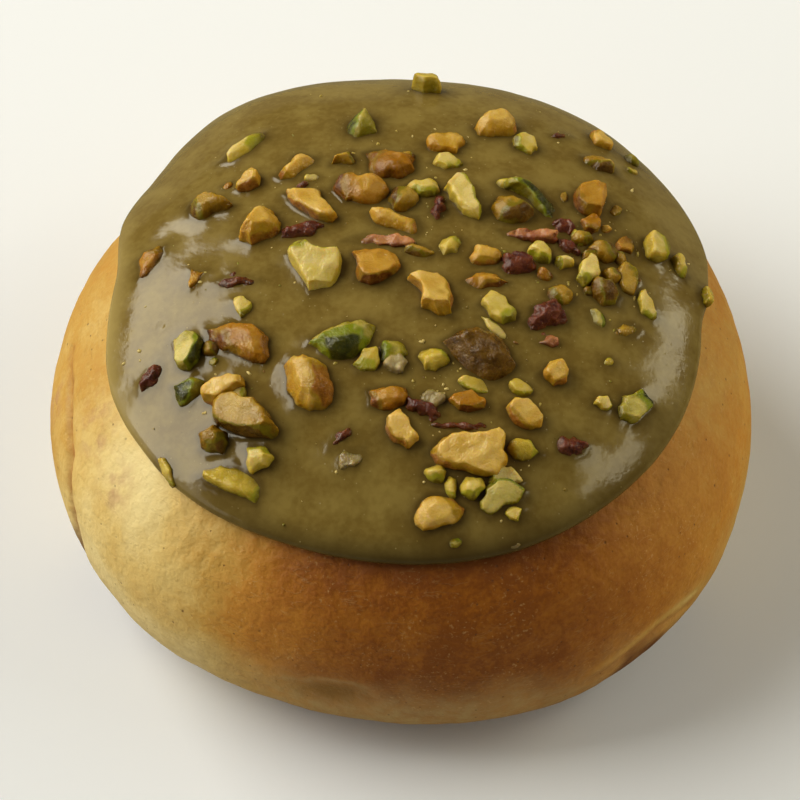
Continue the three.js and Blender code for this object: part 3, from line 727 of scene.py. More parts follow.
def raisePiece(outline, tall, shape, draw):
    rings = shapes[shape]
    count = len(outline)
    bpy.ops.object.select_all(action="DESELECT")
    bpy.ops.mesh.primitive_cylinder_add(vertices=count, radius=1, depth=2, end_fill_type="NGON")
    piece = bpy.context.object
    bpy.ops.object.mode_set(mode="EDIT")
    bpy.ops.mesh.select_mode(type="FACE")
    bpy.ops.mesh.select_all(action="DESELECT")
    mesh = bmesh.from_edit_mesh(piece.data)
    for face in mesh.faces:
        if face.normal.z > 0.9:
            face.select = True
    bmesh.update_edit_mesh(piece.data)
    for ring in rings[2:]:
        bpy.ops.mesh.extrude_region_move(TRANSFORM_OT_translate={"value": (0, 0, 1)})
    bpy.ops.object.mode_set(mode="OBJECT")

    axis = longAxis(outline)
    side = np.array([-axis[1], axis[0]])
    slope = np.array([draw.uniform(-bite["slope"], bite["slope"]) for turn in range(2)])
    points = corners(piece)
    angle = np.arctan2(points[:, 1], points[:, 0])
    step = np.round(angle / (math.tau / count) - angle[0] / (math.tau / count)).astype(int) % count
    level = np.round((points[:, 2] + 1)).astype(int)
    level = np.where(level > 1, level - 1, level)
    placed = np.empty_like(points)
    for i, (k, ring) in enumerate(zip(step, level)):
        height, size, close = rings[min(ring, len(rings) - 1)]
        x, y = outline[k] * size
        away = x * side[0] + y * side[1]
        x, y = x - side[0] * away * close, y - side[1] * away * close
        z = (height - 0.5) * tall + height * (slope[0] * x + slope[1] * y)
        placed[i] = (x, y, z)
    moveCorners(piece, placed)
    return piece


def seatOf(across, back, tall):
    bearing, reach = bearingOf(across, back), np.hypot(across, back)
    top = glazeTopAt(bearing, reach) * smoothStep(glazeReachAt(bearing) + 1.5 - reach, 0, 1.5)
    sunk = min(max(tall * bite["share"], bite["least"]), bite["most"])
    up = Vector(crownNormal(np.float64(across), np.float64(back)))
    place = Vector(overCrown(np.float64(across), np.float64(back), top + tall / 2 - sunk))
    along = Vector((1, 0, 0))
    along = (along - up * along.dot(up)).normalized()
    aside = up.cross(along)
    turn = Matrix((along, aside, up)).transposed().to_4x4()
    shift = Vector((bunForm["centre"][0], bunForm["centre"][1], 0))
    return Matrix.Translation(place + shift) @ turn, sunk


def setAttribute(piece, name, values):
    layer = piece.data.attributes.new(name, "FLOAT", "POINT")
    layer.data.foreach_set("value", np.asarray(values, float))


# Flat breaks: whatever stands out past a random plane is pressed onto it
def breakFlat(points, shape, count, draw):
    least, most = breakDepth.get(shape, breakDepth["other"])
    middle = (points.min(0) + points.max(0)) / 2
    for i in range(count):
        turn = draw.uniform(0, math.tau)
        rise = draw.uniform(*breakRise["later" if i else "first"])
        flat = math.sqrt(1 - rise * rise)
        look = np.array([flat * math.cos(turn), flat * math.sin(turn), rise])
        reach = (points - middle) @ look
        over = np.maximum(reach - reach.max() * draw.uniform(least, most), 0)
        points = points - over[:, None] * look
    return points


# How far each corner stands out from its neighbours: 1 on a sharp ridge, 0 on a flat or a hollow
def edgeWear(piece, step):
    pairs = np.empty(len(piece.data.edges) * 2, int)
    piece.data.edges.foreach_get("vertices", pairs)
    first, second = pairs.reshape(-1, 2).T
    points = corners(piece)
    total = np.zeros_like(points)
    count = np.zeros(len(points))
    for one, other in ((first, second), (second, first)):
        np.add.at(total, one, points[other])
        np.add.at(count, one, 1)
    lift = np.sum((points - total / count[:, None]) * cornerNormals(piece), 1)
    return smoothStep(lift / step, *grain["ridge"])


def finishPiece(piece, kind, row, outline, draw):
    across, back, tall, shape, bearing, tilt, shade = row[:7]
    size = np.ptp(outline, 0).max()
    voxel = grain["voxel"] if size > grain["finerBelow"] else grain["finerVoxel"]
    applyModifier(piece, "REMESH", mode="VOXEL", voxel_size=voxel)
    applyModifier(piece, "SMOOTH", factor=0.5, iterations=3 if shape in ("dome", "kernel") else 1)
    moveCorners(piece, breakFlat(corners(piece), shape, chop[kind]["breaks"], draw))
    applyModifier(piece, "SMOOTH", factor=0.5, iterations=1)
    local = corners(piece)

    b, t = math.radians(bearing), math.radians(tilt)
    look = np.array([math.cos(b) * math.cos(t), math.sin(b) * math.cos(t), math.sin(t)])
    normals = cornerNormals(piece)
    share = local @ look
    skin, topLightPaint, wetShadedFoot = nutMarks["skin"], nutMarks["topLightPaint"], nutMarks["wetShadedFoot"]
    facing = skin["looks"] * normals @ look + skin["lies"] * share / max(share.max(), 0.1)
    facing += (tilt == 90) * skin["allRound"]
    # Painted light: up-facing and higher parts of the flesh come out paler, sides and low parts darker
    paintedTopLight = topLightPaint["looks"] * (normals[:, 2] - topLightPaint["level"]) + topLightPaint["lies"] * (local[:, 2] / tall)
    seat, sunk = seatOf(across, back, tall)
    piece.data.transform(Matrix.Scale(mm, 4) @ seat)
    points = corners(piece)

    ragged = noiseAt(points / mm, *nutMarks["ragged"])
    setAttribute(piece, "skin", smoothStep(facing + skin["ragged"] * ragged, *skin["edge"]))
    # Painted shade at the foot, where the piece meets the glaze, along with the glaze's wetting
    height = local[:, 2] + tall / 2 - sunk
    setAttribute(piece, "wetShadedFoot", 1 - smoothStep(height + wetShadedFoot["ragged"] * ragged, *wetShadedFoot["edge"]))
    patches = nutMarks["patches"]
    mottled = patches["share"] * noiseAt(points / mm, patches["size"], patches["seed"])
    # The shade attribute holds the piece's own tone and mottling, plus this painted light
    setAttribute(piece, "shade", shade + paintedTopLight + mottled)
    worn = edgeWear(piece, voxel * mm)
    setAttribute(piece, "edge", worn)

    lumps, fine = noiseAt(points / mm, *grain["lumps"]), noiseAt(points / mm, *grain["fineLumps"])
    relief = chop[kind]["rough"] * (lumps + grain["fineShare"] * fine)
    relief -= grain["chip"] * worn * smoothStep(noiseAt(points / mm, *grain["chipped"]), *grain["chipEdge"])
    relief -= chop[kind]["pits"] * smoothStep(noiseAt(points / mm, *grain["pitted"]), *grain["pitEdge"])
    points += cornerNormals(piece) * relief[:, None] * mm
    points[:, 2] -= max(0, points[:, 2].max() - cadBox[1][2] + grain["underTop"] * mm)
    moveCorners(piece, points)


def joinPieces(pieces, name):
    bpy.ops.object.select_all(action="DESELECT")
    for piece in pieces:
        piece.select_set(True)
    bpy.context.view_layer.objects.active = pieces[0]
    bpy.ops.object.join()
    joined = bpy.context.object
    joined.name = name
    joined.data.name = name
    smoothShade(joined)
    return joined


def makeNuts():
    draw = random.Random(nutSeed)
    made = {}
    footprints = []
    for kind, rows in nuts.items():
        pieces = []
        for row in rows:
            outline = outlineOf(row[7], kind, draw)
            piece = raisePiece(outline, row[2], row[3], draw)
            finishPiece(piece, kind, row, outline, draw)
            pieces.append(piece)
            footprints.append((row[0], row[1], outline, row[2]))
        made[kind] = joinPieces(pieces, kind + "_nuts")
        print(kind, "nuts:", len(rows), "pieces,", len(made[kind].data.polygons), "faces")
    return made, footprints


# Nut dust: small broken bits, most of them near the nuts
dust = {
    "seed": 23,
    "loose": 110,
    "nearNuts": 330,
    "inThickets": 300,
    "thickets": [  # across, back, spread
        (24, 4, 6),
        (20, 2, 8),
        (-21, -20, 5),
        (9, -24, 7),
        (0, 12, 8),
        (5, -17, 6),
    ],
    "reach": 38,
    "margin": 0.5,  # clear of the glaze's edge
    "fromEdge": (0.9, 1.3),  # of a nut's outline
    "scatter": (0.4, 0.6),
    "size": (0.07, 0.33),  # half a bit's length
    "mostSmall": 2.2,
    "stretch": [(0.7, 1.6), (0.6, 1.1), (0.4, 0.8)],
    "jagged": (0.45, 0.8),  # how far, and the size of the jags
    "breaks": 2,
    "lift": 0.15,
    "darker": 0.85,
    "mostPale": 1.6,
}


def addGrit():
    bpy.ops.object.select_all(action="DESELECT")
    bpy.ops.mesh.primitive_ico_sphere_add(subdivisions=1, radius=1)
    return bpy.context.object


def dustPlaces(footprints, draw):
    places = []
    for i in range(dust["loose"]):
        turn, reach = draw.uniform(0, math.tau), dust["reach"] * math.sqrt(draw.random())
        places.append((reach * math.cos(turn), reach * math.sin(turn)))
    for i in range(dust["inThickets"]):
        across, back, spread = draw.choice(dust["thickets"])
        places.append((across + draw.gauss(0, spread / 2), back + draw.gauss(0, spread / 2)))
    for i in range(dust["nearNuts"]):
        across, back, outline = draw.choice(footprints)[:3]
        edge = outline[draw.randrange(len(outline))] * draw.uniform(*dust["fromEdge"])
        aside, away = [draw.gauss(0, scatter) for scatter in dust["scatter"]]
        places.append((across + edge[0] + aside, back + edge[1] + away))
    return places


def makeDust(footprints):
    draw = random.Random(dust["seed"])
    grit = addGrit()
    ball = corners(grit)
    bits = []
    for across, back in dustPlaces(footprints, draw):
        reach = math.hypot(across, back)
        if reach > float(glazeReachAt(np.float64(bearingOf(across, back)))) - dust["margin"]:
            continue
        bit = grit.copy()
        bit.data = grit.data.copy()
        scene.collection.objects.link(bit)
        least, most = dust["size"]
        size = least + (most - least) * draw.random() ** dust["mostSmall"]
        stretch = np.array([size * draw.uniform(*span) for span in dust["stretch"]])
        far, jag = dust["jagged"]
        jagged = 1 + far * noiseAt(ball, jag, draw.randrange(1000))
        points = breakFlat(ball * jagged[:, None], "grit", dust["breaks"], draw) * stretch
        turn = draw.uniform(0, math.tau)
        c, s = math.cos(turn), math.sin(turn)
        top = glazeTopAt(np.float64(bearingOf(across, back)), np.float64(reach))
        place = overCrown(np.float64(across), np.float64(back), top + dust["lift"] * size)
        place = place + np.array([bunForm["centre"][0], bunForm["centre"][1], 0])
        moveCorners(bit, (points @ np.array([[c, s, 0], [-s, c, 0], [0, 0, 1]]) + place) * mm)
        shade = 1 - dust["darker"] * draw.random() ** dust["mostPale"]
        setAttribute(bit, "shade", np.full(len(ball), shade))
        bits.append(bit)
    bpy.data.objects.remove(grit)
    return joinPieces(bits, "nut_dust")


# The icing, as a flattened ball with a round edge, drawn up a little round every nut
icing = {
    "sectors": 600,
    "topRings": 128,
    "beadRings": 12,
    "underRings": 4,
    "waves": [(9, 0.14, 21), (3.6, 0.05, 22)],  # size, height, seed
    "cling": [(0.35, 0.1), (1.5, 0.16)],  # reach from the nut, rise
    "shadow": [(0.4, 0.4), (1.1, 0.35), (3, 0.25)],  # how the tint darkens near a nut, as painted shadow with some nut stain: reach, share
    "clingWithin": 5,
    "nutFoot": 0.93,  # of a nut's outline
    "rimRings": (13, 3),  # before and after the edge's first ring
    "rimAllRound": 0.1,
    # Painted shade on the bead: bearing and spread of where it is deepest
    "paintedShadeRim": (275, 48),  # bearing, spread
    "paleRim": (188, 32),
    "bubble": {"place": (-30.4, -6.4), "radius": 0.8, "rise": 0.07, "dent": 0.08, "wall": 0.3, "pit": 0.6},
}


def outlineDistance(x, y, outline):
    inside = np.zeros(len(x), bool)
    nearest = np.full(len(x), 1e9)
    following = np.roll(outline, -1, 0)
    for (ax, ay), (bx, by) in zip(outline, following):
        run = (bx - ax) ** 2 + (by - ay) ** 2
        share = np.clip(((x - ax) * (bx - ax) + (y - ay) * (by - ay)) / run, 0, 1)
        nearest = np.minimum(nearest, np.hypot(x - ax - share * (bx - ax), y - ay - share * (by - ay)))
        crosses = (ay > y) != (by > y)
        with np.errstate(divide="ignore", invalid="ignore"):
            inside ^= crosses & (x < (bx - ax) * (y - ay) / (by - ay) + ax)
    return np.where(inside, 0, nearest)


def clingAt(x, y, footprints, rises):
    rise = np.zeros(len(x))
    for across, back, outline, tall in footprints:
        span = np.abs(outline).max() + icing["clingWithin"]
        near = (np.abs(x - across) < span) & (np.abs(y - back) < span)
        away = outlineDistance(x[near] - across, y[near] - back, outline * icing["nutFoot"])
        lift = sum(up * np.exp(-((away / far) ** 2)) for far, up in rises)
        rise[near] = np.maximum(rise[near], lift * min(1, 0.4 + tall / 4))
    return rise


def makeIcing(footprints):
    rings = icing["topRings"] + icing["beadRings"] + icing["underRings"]
    piece = addSphere("pistachio_icing", icing["sectors"], rings)
    ball = corners(piece)
    bearing = bearingOf(ball[:, 0], ball[:, 1])
    ring = np.round(np.degrees(np.arccos(np.clip(ball[:, 2], -1, 1))) * rings / 180)
    roundness = bunForm["crownRound"]
    radius = bunRadiusAt(bearing)
    edgeReach = glazeReachAt(bearing)
    edgeLean = np.arcsin((edgeReach / radius) ** (roundness / 2))
    portion = np.where(ring <= icing["topRings"], ring / icing["topRings"], 1)
    under = ring - icing["topRings"] - icing["beadRings"]
    portion = np.where(under > 0, 1 - under / icing["underRings"], portion)
    reach = radius * np.maximum(np.sin(edgeLean * portion), 1e-6) ** (2 / roundness)
    angle = np.radians(bearing)
    x, y = reach * np.cos(angle), reach * np.sin(angle)

    flat = np.stack([x, y, np.zeros_like(x)], -1)
    lift = glazeTopAt(bearing, reach) + clingAt(x, y, footprints, icing["cling"])
    for size, tall, seed in icing["waves"]:
        lift += tall * noiseAt(flat, size, seed)
    bubble = icing["bubble"]
    away = np.hypot(x - bubble["place"][0], y - bubble["place"][1]) / bubble["radius"]
    wall, pit = np.exp(-(((away - 1) / bubble["wall"]) ** 2)), np.exp(-((away / bubble["pit"]) ** 2))
    lift += bubble["rise"] * wall - bubble["dent"] * pit

    low = glazeForm["under"]
    half = (lift - low) / 2
    turn = np.radians(90 - 180 * np.clip((ring - icing["topRings"]) / icing["beadRings"], 0, 1))
    normal = crownNormal(x, y)
    outward = np.stack([np.cos(angle), np.sin(angle), np.zeros_like(x)], -1)
    outward -= normal * np.sum(outward * normal, -1, keepdims=True)
    outward /= np.linalg.norm(outward, axis=-1, keepdims=True)
    rise = np.where(ring < icing["topRings"], lift, low + half + half * np.sin(turn))
    rise = np.where(under > 0, low, rise)
    out = np.where((ring > icing["topRings"]) & (under <= 0), half * np.cos(turn), 0)
    points = overCrown(x, y, rise) + outward * out[:, None]
    points[:, 0] += bunForm["centre"][0]
    points[:, 1] += bunForm["centre"][1]
    moveCorners(piece, points * mm)
    # Foot: painted shadow round each nut, with some brown nut stain in the glaze
    setAttribute(piece, "foot", clingAt(x, y, footprints, icing["shadow"]))
    # Painted shade on the bead, deepest at the front where it turns away from the lamps, a little all round
    before, after = icing["rimRings"]
    rim = smoothStep(ring, icing["topRings"] - before, icing["topRings"] + after)
    allRound = icing["rimAllRound"]
    setAttribute(piece, "rim", rim * (allRound + (1 - allRound) * hump(bearing, *icing["paintedShadeRim"])))
    setAttribute(piece, "paleRim", rim * hump(bearing, *icing["paleRim"]))
    smoothShade(piece)
    return piece


# Materials
def put(tree, kind, inputs=None, **settings):
    node = tree.nodes.new(kind)
    for name, value in settings.items():
        setattr(node, name, value)
    for name, value in (inputs or {}).items():
        if isinstance(value, bpy.types.NodeSocket):
            tree.links.new(value, node.inputs[name])
        else:
            node.inputs[name].default_value = value
    return node


def newMaterial(name):
    material = bpy.data.materials.new(name)
    material.use_nodes = True
    material.node_tree.nodes.clear()
    return material, material.node_tree


def finishMaterial(tree, inputs):
    shader = put(tree, "ShaderNodeBsdfPrincipled", inputs)
    put(tree, "ShaderNodeOutputMaterial", {"Surface": shader.outputs[0]})


def colour(red, green, blue):
    return (red, green, blue, 1)


def millimetres(tree):
    inputs = {0: put(tree, "ShaderNodeTexCoord").outputs["Object"], 1: (1000, 1000, 1000)}
    return put(tree, "ShaderNodeVectorMath", inputs, operation="MULTIPLY").outputs[0]


def startGroup(name, inputs, outputs):
    group = bpy.data.node_groups.new(name, "ShaderNodeTree")
    for label, kind, value in inputs:
        socket = group.interface.new_socket(label, in_out="INPUT", socket_type=kind)
        if value is not None:
            socket.default_value = value
    for label, kind in outputs:
        group.interface.new_socket(label, in_out="OUTPUT", socket_type=kind)
    return group, group.nodes.new("NodeGroupInput"), group.nodes.new("NodeGroupOutput")


def reckon(tree, operation, first, second):
    return put(tree, "ShaderNodeMath", {0: first, 1: second}, operation=operation).outputs[0]


def patternScale(group, size):
    return reckon(group, "DIVIDE", 1.0, size)


def softMask(group, value, low, high):
    inputs = {"Value": value, "From Min": low, "From Max": high}
    return put(group, "ShaderNodeMapRange", inputs, interpolation_type="SMOOTHSTEP").outputs[0]


# Clouds: a noise cut to a soft mask
def makeCloudsGroup():
    group, given, result = startGroup(
        "clouds",
        [
            ("Place", "NodeSocketVector", None),
            ("Size", "NodeSocketFloat", 5.0),
            ("Detail", "NodeSocketFloat", 3.0),
            ("From", "NodeSocketFloat", 0.4),
            ("To", "NodeSocketFloat", 0.6),
        ],
        [("Mask", "NodeSocketFloat")],
    )
    scale = patternScale(group, given.outputs["Size"])
    inputs = {"Vector": given.outputs["Place"], "Scale": scale, "Detail": given.outputs["Detail"]}
    pattern = put(group, "ShaderNodeTexNoise", inputs)
    mask = softMask(group, pattern.outputs[0], given.outputs["From"], given.outputs["To"])
    group.links.new(mask, result.inputs["Mask"])
    return group


# Pores: small round marks at random places, some left out
def makePoresGroup():
    group, given, result = startGroup(
        "pores",
        [
            ("Place", "NodeSocketVector", None),
            ("Spacing", "NodeSocketFloat", 5.0),
            ("Radius", "NodeSocketFloat", 0.15),
            ("Kept", "NodeSocketFloat", 0.5),
        ],
        [("Mask", "NodeSocketFloat")],
    )
    scale = patternScale(group, given.outputs["Spacing"])
    cells = put(group, "ShaderNodeTexVoronoi", {"Vector": given.outputs["Place"], "Scale": scale})
    away = reckon(group, "MULTIPLY", cells.outputs["Distance"], given.outputs["Spacing"])
    spot = softMask(group, away, given.outputs["Radius"], 0.0)
    luck = put(group, "ShaderNodeSeparateColor", {0: cells.outputs["Color"]}).outputs[0]
    kept = reckon(group, "LESS_THAN", luck, given.outputs["Kept"])
    group.links.new(reckon(group, "MULTIPLY", spot, kept), result.inputs["Mask"])
    return group


# Wrinkles: thin lines that wander level round the bun
def makeWrinklesGroup():
    group, given, result = startGroup(
        "wrinkles",
        [
            ("Place", "NodeSocketVector", None),
            ("Size", "NodeSocketFloat", 2.5),
            ("Width", "NodeSocketFloat", 0.03),
        ],
        [("Mask", "NodeSocketFloat")],
    )
    scale = patternScale(group, given.outputs["Size"])
    inputs = {0: given.outputs["Place"], 1: (0.4, 0.4, 2.2)}
    drawn = put(group, "ShaderNodeVectorMath", inputs, operation="MULTIPLY").outputs[0]
    pattern = put(group, "ShaderNodeTexNoise", {"Vector": drawn, "Scale": scale, "Detail": 2.0})
    middle = reckon(group, "SUBTRACT", pattern.outputs[0], 0.5)
    away = put(group, "ShaderNodeMath", {0: middle}, operation="ABSOLUTE").outputs[0]
    group.links.new(softMask(group, away, given.outputs["Width"], 0.0), result.inputs["Mask"])
    return group


groups = {"clouds": makeCloudsGroup(), "pores": makePoresGroup(), "wrinkles": makeWrinklesGroup()}


def effect(tree, name, inputs):
    return put(tree, "ShaderNodeGroup", inputs, node_tree=groups[name]).outputs[0]


def blend(tree, share, first, second):
    node = put(tree, "ShaderNodeMix", data_type="RGBA")
    for socket, value in ((node.inputs[0], share), (node.inputs[6], first), (node.inputs[7], second)):
        if isinstance(value, bpy.types.NodeSocket):
            tree.links.new(value, socket)
        else:
            socket.default_value = value
    return node.outputs[2]


# A value that a mask swings up and down by half the amount
def swing(tree, value, mask, amount):
    return reckon(tree, "ADD", value, reckon(tree, "MULTIPLY", reckon(tree, "SUBTRACT", mask, 0.5), amount))


# A tint laid over another where its mask is. Its share may be unsteady, and then follows the patches
def lay(tree, under, mask, coat, patches=None):
    tint, share, *unsteady = coat
    if unsteady:
        share = swing(tree, share, patches, unsteady[0])
    return blend(tree, reckon(tree, "MULTIPLY", mask, share), under, colour(*tint))


def attribute(tree, name):
    return put(tree, "ShaderNodeAttribute", attribute_name=name).outputs["Fac"]


def clouds(tree, place, size, detail=3.0, low=0.3, high=0.7):
    return effect(tree, "clouds", {"Place": place, "Size": size, "Detail": detail, "From": low, "To": high})


def pores(tree, place, spacing, radius, kept):
    return effect(tree, "pores", {"Place": place, "Spacing": spacing, "Radius": radius, "Kept": kept})


def wrinkles(tree, place, size, width):
    return effect(tree, "wrinkles", {"Place": place, "Size": size, "Width": width})


def ramp(tree, share, stops):
    node = put(tree, "ShaderNodeValToRGB", {0: share})
    elements = node.color_ramp.elements
    while len(elements) < len(stops):
        elements.new(0.5)
    for element, (at, tint) in zip(elements, stops):
        element.position = at
        element.color = colour(*tint)
    return node.outputs[0]


def bump(tree, height, tall):
    return put(tree, "ShaderNodeBump", {"Height": height, "Strength": 1.0, "Distance": tall * mm}).outputs[0]


crustLook = {
    "clouds": {"broad": (6.0, 5.0), "small": (1.6, 4.0), "fine": (0.55, 3.0)},  # size, detail
    "unsteady": {"broad": 0.11, "small": 0.1, "fine": 0.11, "least": 0.15},
    "stained": (2.2, 4.0, 0.4, 0.65),  # size, detail, from, to
    "flecks": (0.45, 2.0, 0.6, 0.72),
    "fleckPatches": (5.0, 2.0, 0.4, 0.65),
    "wrinklePatches": (3.6, 2.0, 0.48, 0.6),
    "wrinkles": (2.0, 0.016),  # size, width
    "bake": [
        (0.0, (0.79, 0.64, 0.31)),
        (0.14, (0.67, 0.48, 0.17)),
        (0.3, (0.54, 0.31, 0.065)),
        (0.5, (0.49, 0.215, 0.028)),
        (0.7, (0.39, 0.145, 0.015)),
        (0.9, (0.29, 0.092, 0.008)),
        (1.0, (0.23, 0.067, 0.006)),
    ],
    # A tint, its share, and how unsteady that is
    "dust": ((0.48, 0.34, 0.15), 0.72, 0.4),
    "stain": ((0.42, 0.2, 0.12), 0.55),
    # Painted shade inside the dimple
    "hollow": ((0.19, 0.12, 0.03), 0.6),
    # Painted shade in the creases
    "creaseShade": ((0.33, 0.13, 0.028), 0.65, 0.5),
    "scorchAndShadow": ((0.12, 0.03, 0.01), 0.85, 0.3),
    "pore": ((0.1, 0.04, 0.015), 0.8),
    "pale": (0.72, 0.5, 0.22),  # of flecks and wrinkles
    "fleckShare": 0.28,
    "wrinkleShare": 0.13,
    "pores": [(3.4, 0.3, 0.9), (1.8, 0.22, 0.6)],  # spacing, radius, how many are kept
    "roughness": (0.52, 0.12),  # middle and swing
    "relief": {"fine": 0.3, "small": 1.0, "wrinkles": 0.35, "height": 0.09},
    "ior": 1.33,
}


def crustMaterial():
    material, tree = newMaterial("baked_crust")
    look, place = crustLook, millimetres(tree)
    masks = {name: clouds(tree, place, *size) for name, size in look["clouds"].items()}
    broad, small, fine = masks["broad"], masks["small"], masks["fine"]
    bake = attribute(tree, "bake")
    unsteady = reckon(tree, "ADD", look["unsteady"]["least"], bake)
    for name, mask in masks.items():
        bake = swing(tree, bake, mask, reckon(tree, "MULTIPLY", unsteady, look["unsteady"][name]))
    tint = ramp(tree, bake, look["bake"])
    tint = lay(tree, tint, attribute(tree, "dust"), look["dust"], small)
    stained = reckon(tree, "MULTIPLY", attribute(tree, "stain"), clouds(tree, place, *look["stained"]))
    tint = lay(tree, tint, stained, look["stain"])
    # Painted shade inside the dimple
    tint = lay(tree, tint, attribute(tree, "hollow"), look["hollow"])
    # Painted shade in the creases
    tint = lay(tree, tint, attribute(tree, "creaseShade"), look["creaseShade"], small)
    patches = clouds(tree, place, *look["fleckPatches"])
    flecked = reckon(tree, "MULTIPLY", clouds(tree, place, *look["flecks"]), patches)
    patches = clouds(tree, place, *look["wrinklePatches"])
    wrinkled = reckon(tree, "MULTIPLY", wrinkles(tree, place, *look["wrinkles"]), patches)
    flecks = reckon(tree, "MULTIPLY", flecked, look["fleckShare"])
    lined = reckon(tree, "MAXIMUM", flecks, reckon(tree, "MULTIPLY", wrinkled, look["wrinkleShare"]))
    tint = blend(tree, lined, tint, colour(*look["pale"]))
    # Scorched foot, and painted shadow under the glaze's front edge
    tint = lay(tree, tint, attribute(tree, "scorchAndShadow"), look["scorchAndShadow"], small)
    pored = reckon(tree, "MAXIMUM", *[pores(tree, place, *kind) for kind in look["pores"]])
    tint = lay(tree, tint, pored, look["pore"])
    relief = look["relief"]
    height = swing(tree, reckon(tree, "MULTIPLY", fine, relief["fine"]), small, relief["small"])
    height = reckon(tree, "ADD", height, reckon(tree, "MULTIPLY", wrinkled, relief["wrinkles"]))
    height = reckon(tree, "SUBTRACT", height, pored)
    rough, change = look["roughness"]
    finishMaterial(
        tree,
        {
            "Base Color": tint,
            "Roughness": swing(tree, rough, broad, change),
            "Normal": bump(tree, height, relief["height"]),
            "IOR": look["ior"],
        },
    )
    return material


icingLook = {
    "broad": (5.0, 4.0),  # size, detail
    "small": (0.9, 4.0),
    "dark": (0.165, 0.107, 0.022),
    "light": (0.235, 0.165, 0.041),
    # A tint and its share
    # Rim tint: painted shade on the bead
    "rim": ((0.045, 0.029, 0.007), 0.85),
    "paleRim": ((0.4, 0.3, 0.105), 0.75),
    # Foot tint: painted shadow round each nut, with some nut stain
    "foot": ((0.055, 0.032, 0.006), 0.8),
    "speck": ((0.4, 0.32, 0.13), 0.6),
    "fleck": ((0.06, 0.03, 0.01), 0.7),
    "specks": (0.8, 0.14, 0.3),  # spacing, radius, how many are kept
    "flecks": (1.9, 0.13, 0.4),
    "roughness": (0.13, 0.05),  # middle and swing
    "relief": {"small": 0.35, "specks": 0.8, "height": 0.02},
    "ior": 1.42,
}


def icingMaterial():
    material, tree = newMaterial("pistachio_icing")
    look, place = icingLook, millimetres(tree)
    broad = clouds(tree, place, *look["broad"])
    small = clouds(tree, place, *look["small"])
    tint = blend(tree, swing(tree, broad, small, 0.5), colour(*look["dark"]), colour(*look["light"]))
    for name in ("rim", "paleRim", "foot"):
        tint = lay(tree, tint, attribute(tree, name), look[name])
    specks = pores(tree, place, *look["specks"])
    tint = lay(tree, tint, specks, look["speck"])
    tint = lay(tree, tint, pores(tree, place, *look["flecks"]), look["fleck"])
    relief = look["relief"]
    height = reckon(tree, "MULTIPLY", small, relief["small"])
    height = reckon(tree, "ADD", height, reckon(tree, "MULTIPLY", specks, relief["specks"]))
    rough, change = look["roughness"]
    finishMaterial(
        tree,
        {
            "Base Color": tint,
            "Roughness": swing(tree, rough, broad, change),
            "Normal": bump(tree, height, relief["height"]),
            "IOR": look["ior"],
        },
    )
    return material


# Each kind's broken flesh from dark to light, its skin side from dark to light, and its green rim
nutLooks = {
    "pale": {
        "flesh": [(0.28, 0.2, 0.008), (0.55, 0.4, 0.05), (0.7, 0.56, 0.21)],
        "skin": [(0.12, 0.095, 0.005), (0.3, 0.23, 0.016)],
        "rim": (0.34, 0.32, 0.015),
        "crumbs": 0.05,
        "pocks": 0.0,
    },
    "golden": {
        "flesh": [(0.32, 0.125, 0.004), (0.49, 0.27, 0.02), (0.68, 0.46, 0.12)],
        "skin": [(0.2, 0.07, 0.006), (0.44, 0.19, 0.025)],
        "rim": (0.37, 0.22, 0.012),
        "crumbs": 0.1,
        "pocks": 0.2,
    },
    "amber": {
        "flesh": [(0.16, 0.055, 0.002), (0.34, 0.145, 0.007), (0.53, 0.3, 0.042)],
        "skin": [(0.08, 0.022, 0.003), (0.22, 0.075, 0.007)],
        "rim": (0.27, 0.15, 0.008),
        "crumbs": 0.25,
        "pocks": 0.3,
    },
    "green": {
        "flesh": [(0.1, 0.085, 0.003), (0.26, 0.21, 0.01), (0.61, 0.5, 0.15)],
        "skin": [(0.014, 0.019, 0.002), (0.075, 0.072, 0.005)],
        "rim": (0.19, 0.22, 0.006),
        "crumbs": 0.25,
        "pocks": 0.1,
    },
    "olive": {
        "flesh": [(0.11, 0.045, 0.002), (0.28, 0.15, 0.006), (0.48, 0.31, 0.05)],
        "skin": [(0.06, 0.024, 0.003), (0.19, 0.095, 0.01)],
        "rim": (0.19, 0.15, 0.006),
        "crumbs": 0.12,
        "pocks": 0.1,
    },
    "skin": {
        "flesh": [(0.055, 0.01, 0.007), (0.2, 0.05, 0.02), (0.5, 0.23, 0.1)],
        "skin": [(0.05, 0.009, 0.01), (0.19, 0.048, 0.018)],
        "rim": (0.14, 0.06, 0.012),
        "crumbs": 0.3,
        "pocks": 0.2,
    },
    "coated": {
        "flesh": [(0.16, 0.11, 0.035), (0.28, 0.21, 0.085), (0.42, 0.33, 0.16)],
        "skin": [(0.15, 0.11, 0.03), (0.25, 0.19, 0.06)],
        "rim": (0.22, 0.18, 0.04),
        "crumbs": 0.2,
        "pocks": 0.1,
    },
}
nutSurface = {  # what every kind shares
    "broad": (1.5, 2.0),  # size, detail
    "fine": (0.3, 3.0),
    "flesh": {"shade": 0.55, "least": 0.22, "broad": 0.2, "fine": 0.07, "edge": 0.3},
    "side": {"broad": 0.6, "fine": 0.3},
    "rimWidth": 3.8,
    "crumbs": (0.55, 0.1, 0.35),  # spacing, radius, how many are kept
    "crumbTint": (0.75, 0.56, 0.22),
    "pocks": (1.2, 0.15, 0.3),
    "pockTint": (0.1, 0.04, 0.008),
    # Dark foot: the glaze's wetting and painted contact shade
    "wetShadedFoot": ((0.07, 0.036, 0.004), 0.55),
    "roughness": (0.16, 0.1),
    "relief": 0.045,
    "ior": 1.45,
    "glow": {"share": 0.8, "reach": (1.0, 0.7, 0.12), "depth": 0.9},  # light that goes into the flesh
}


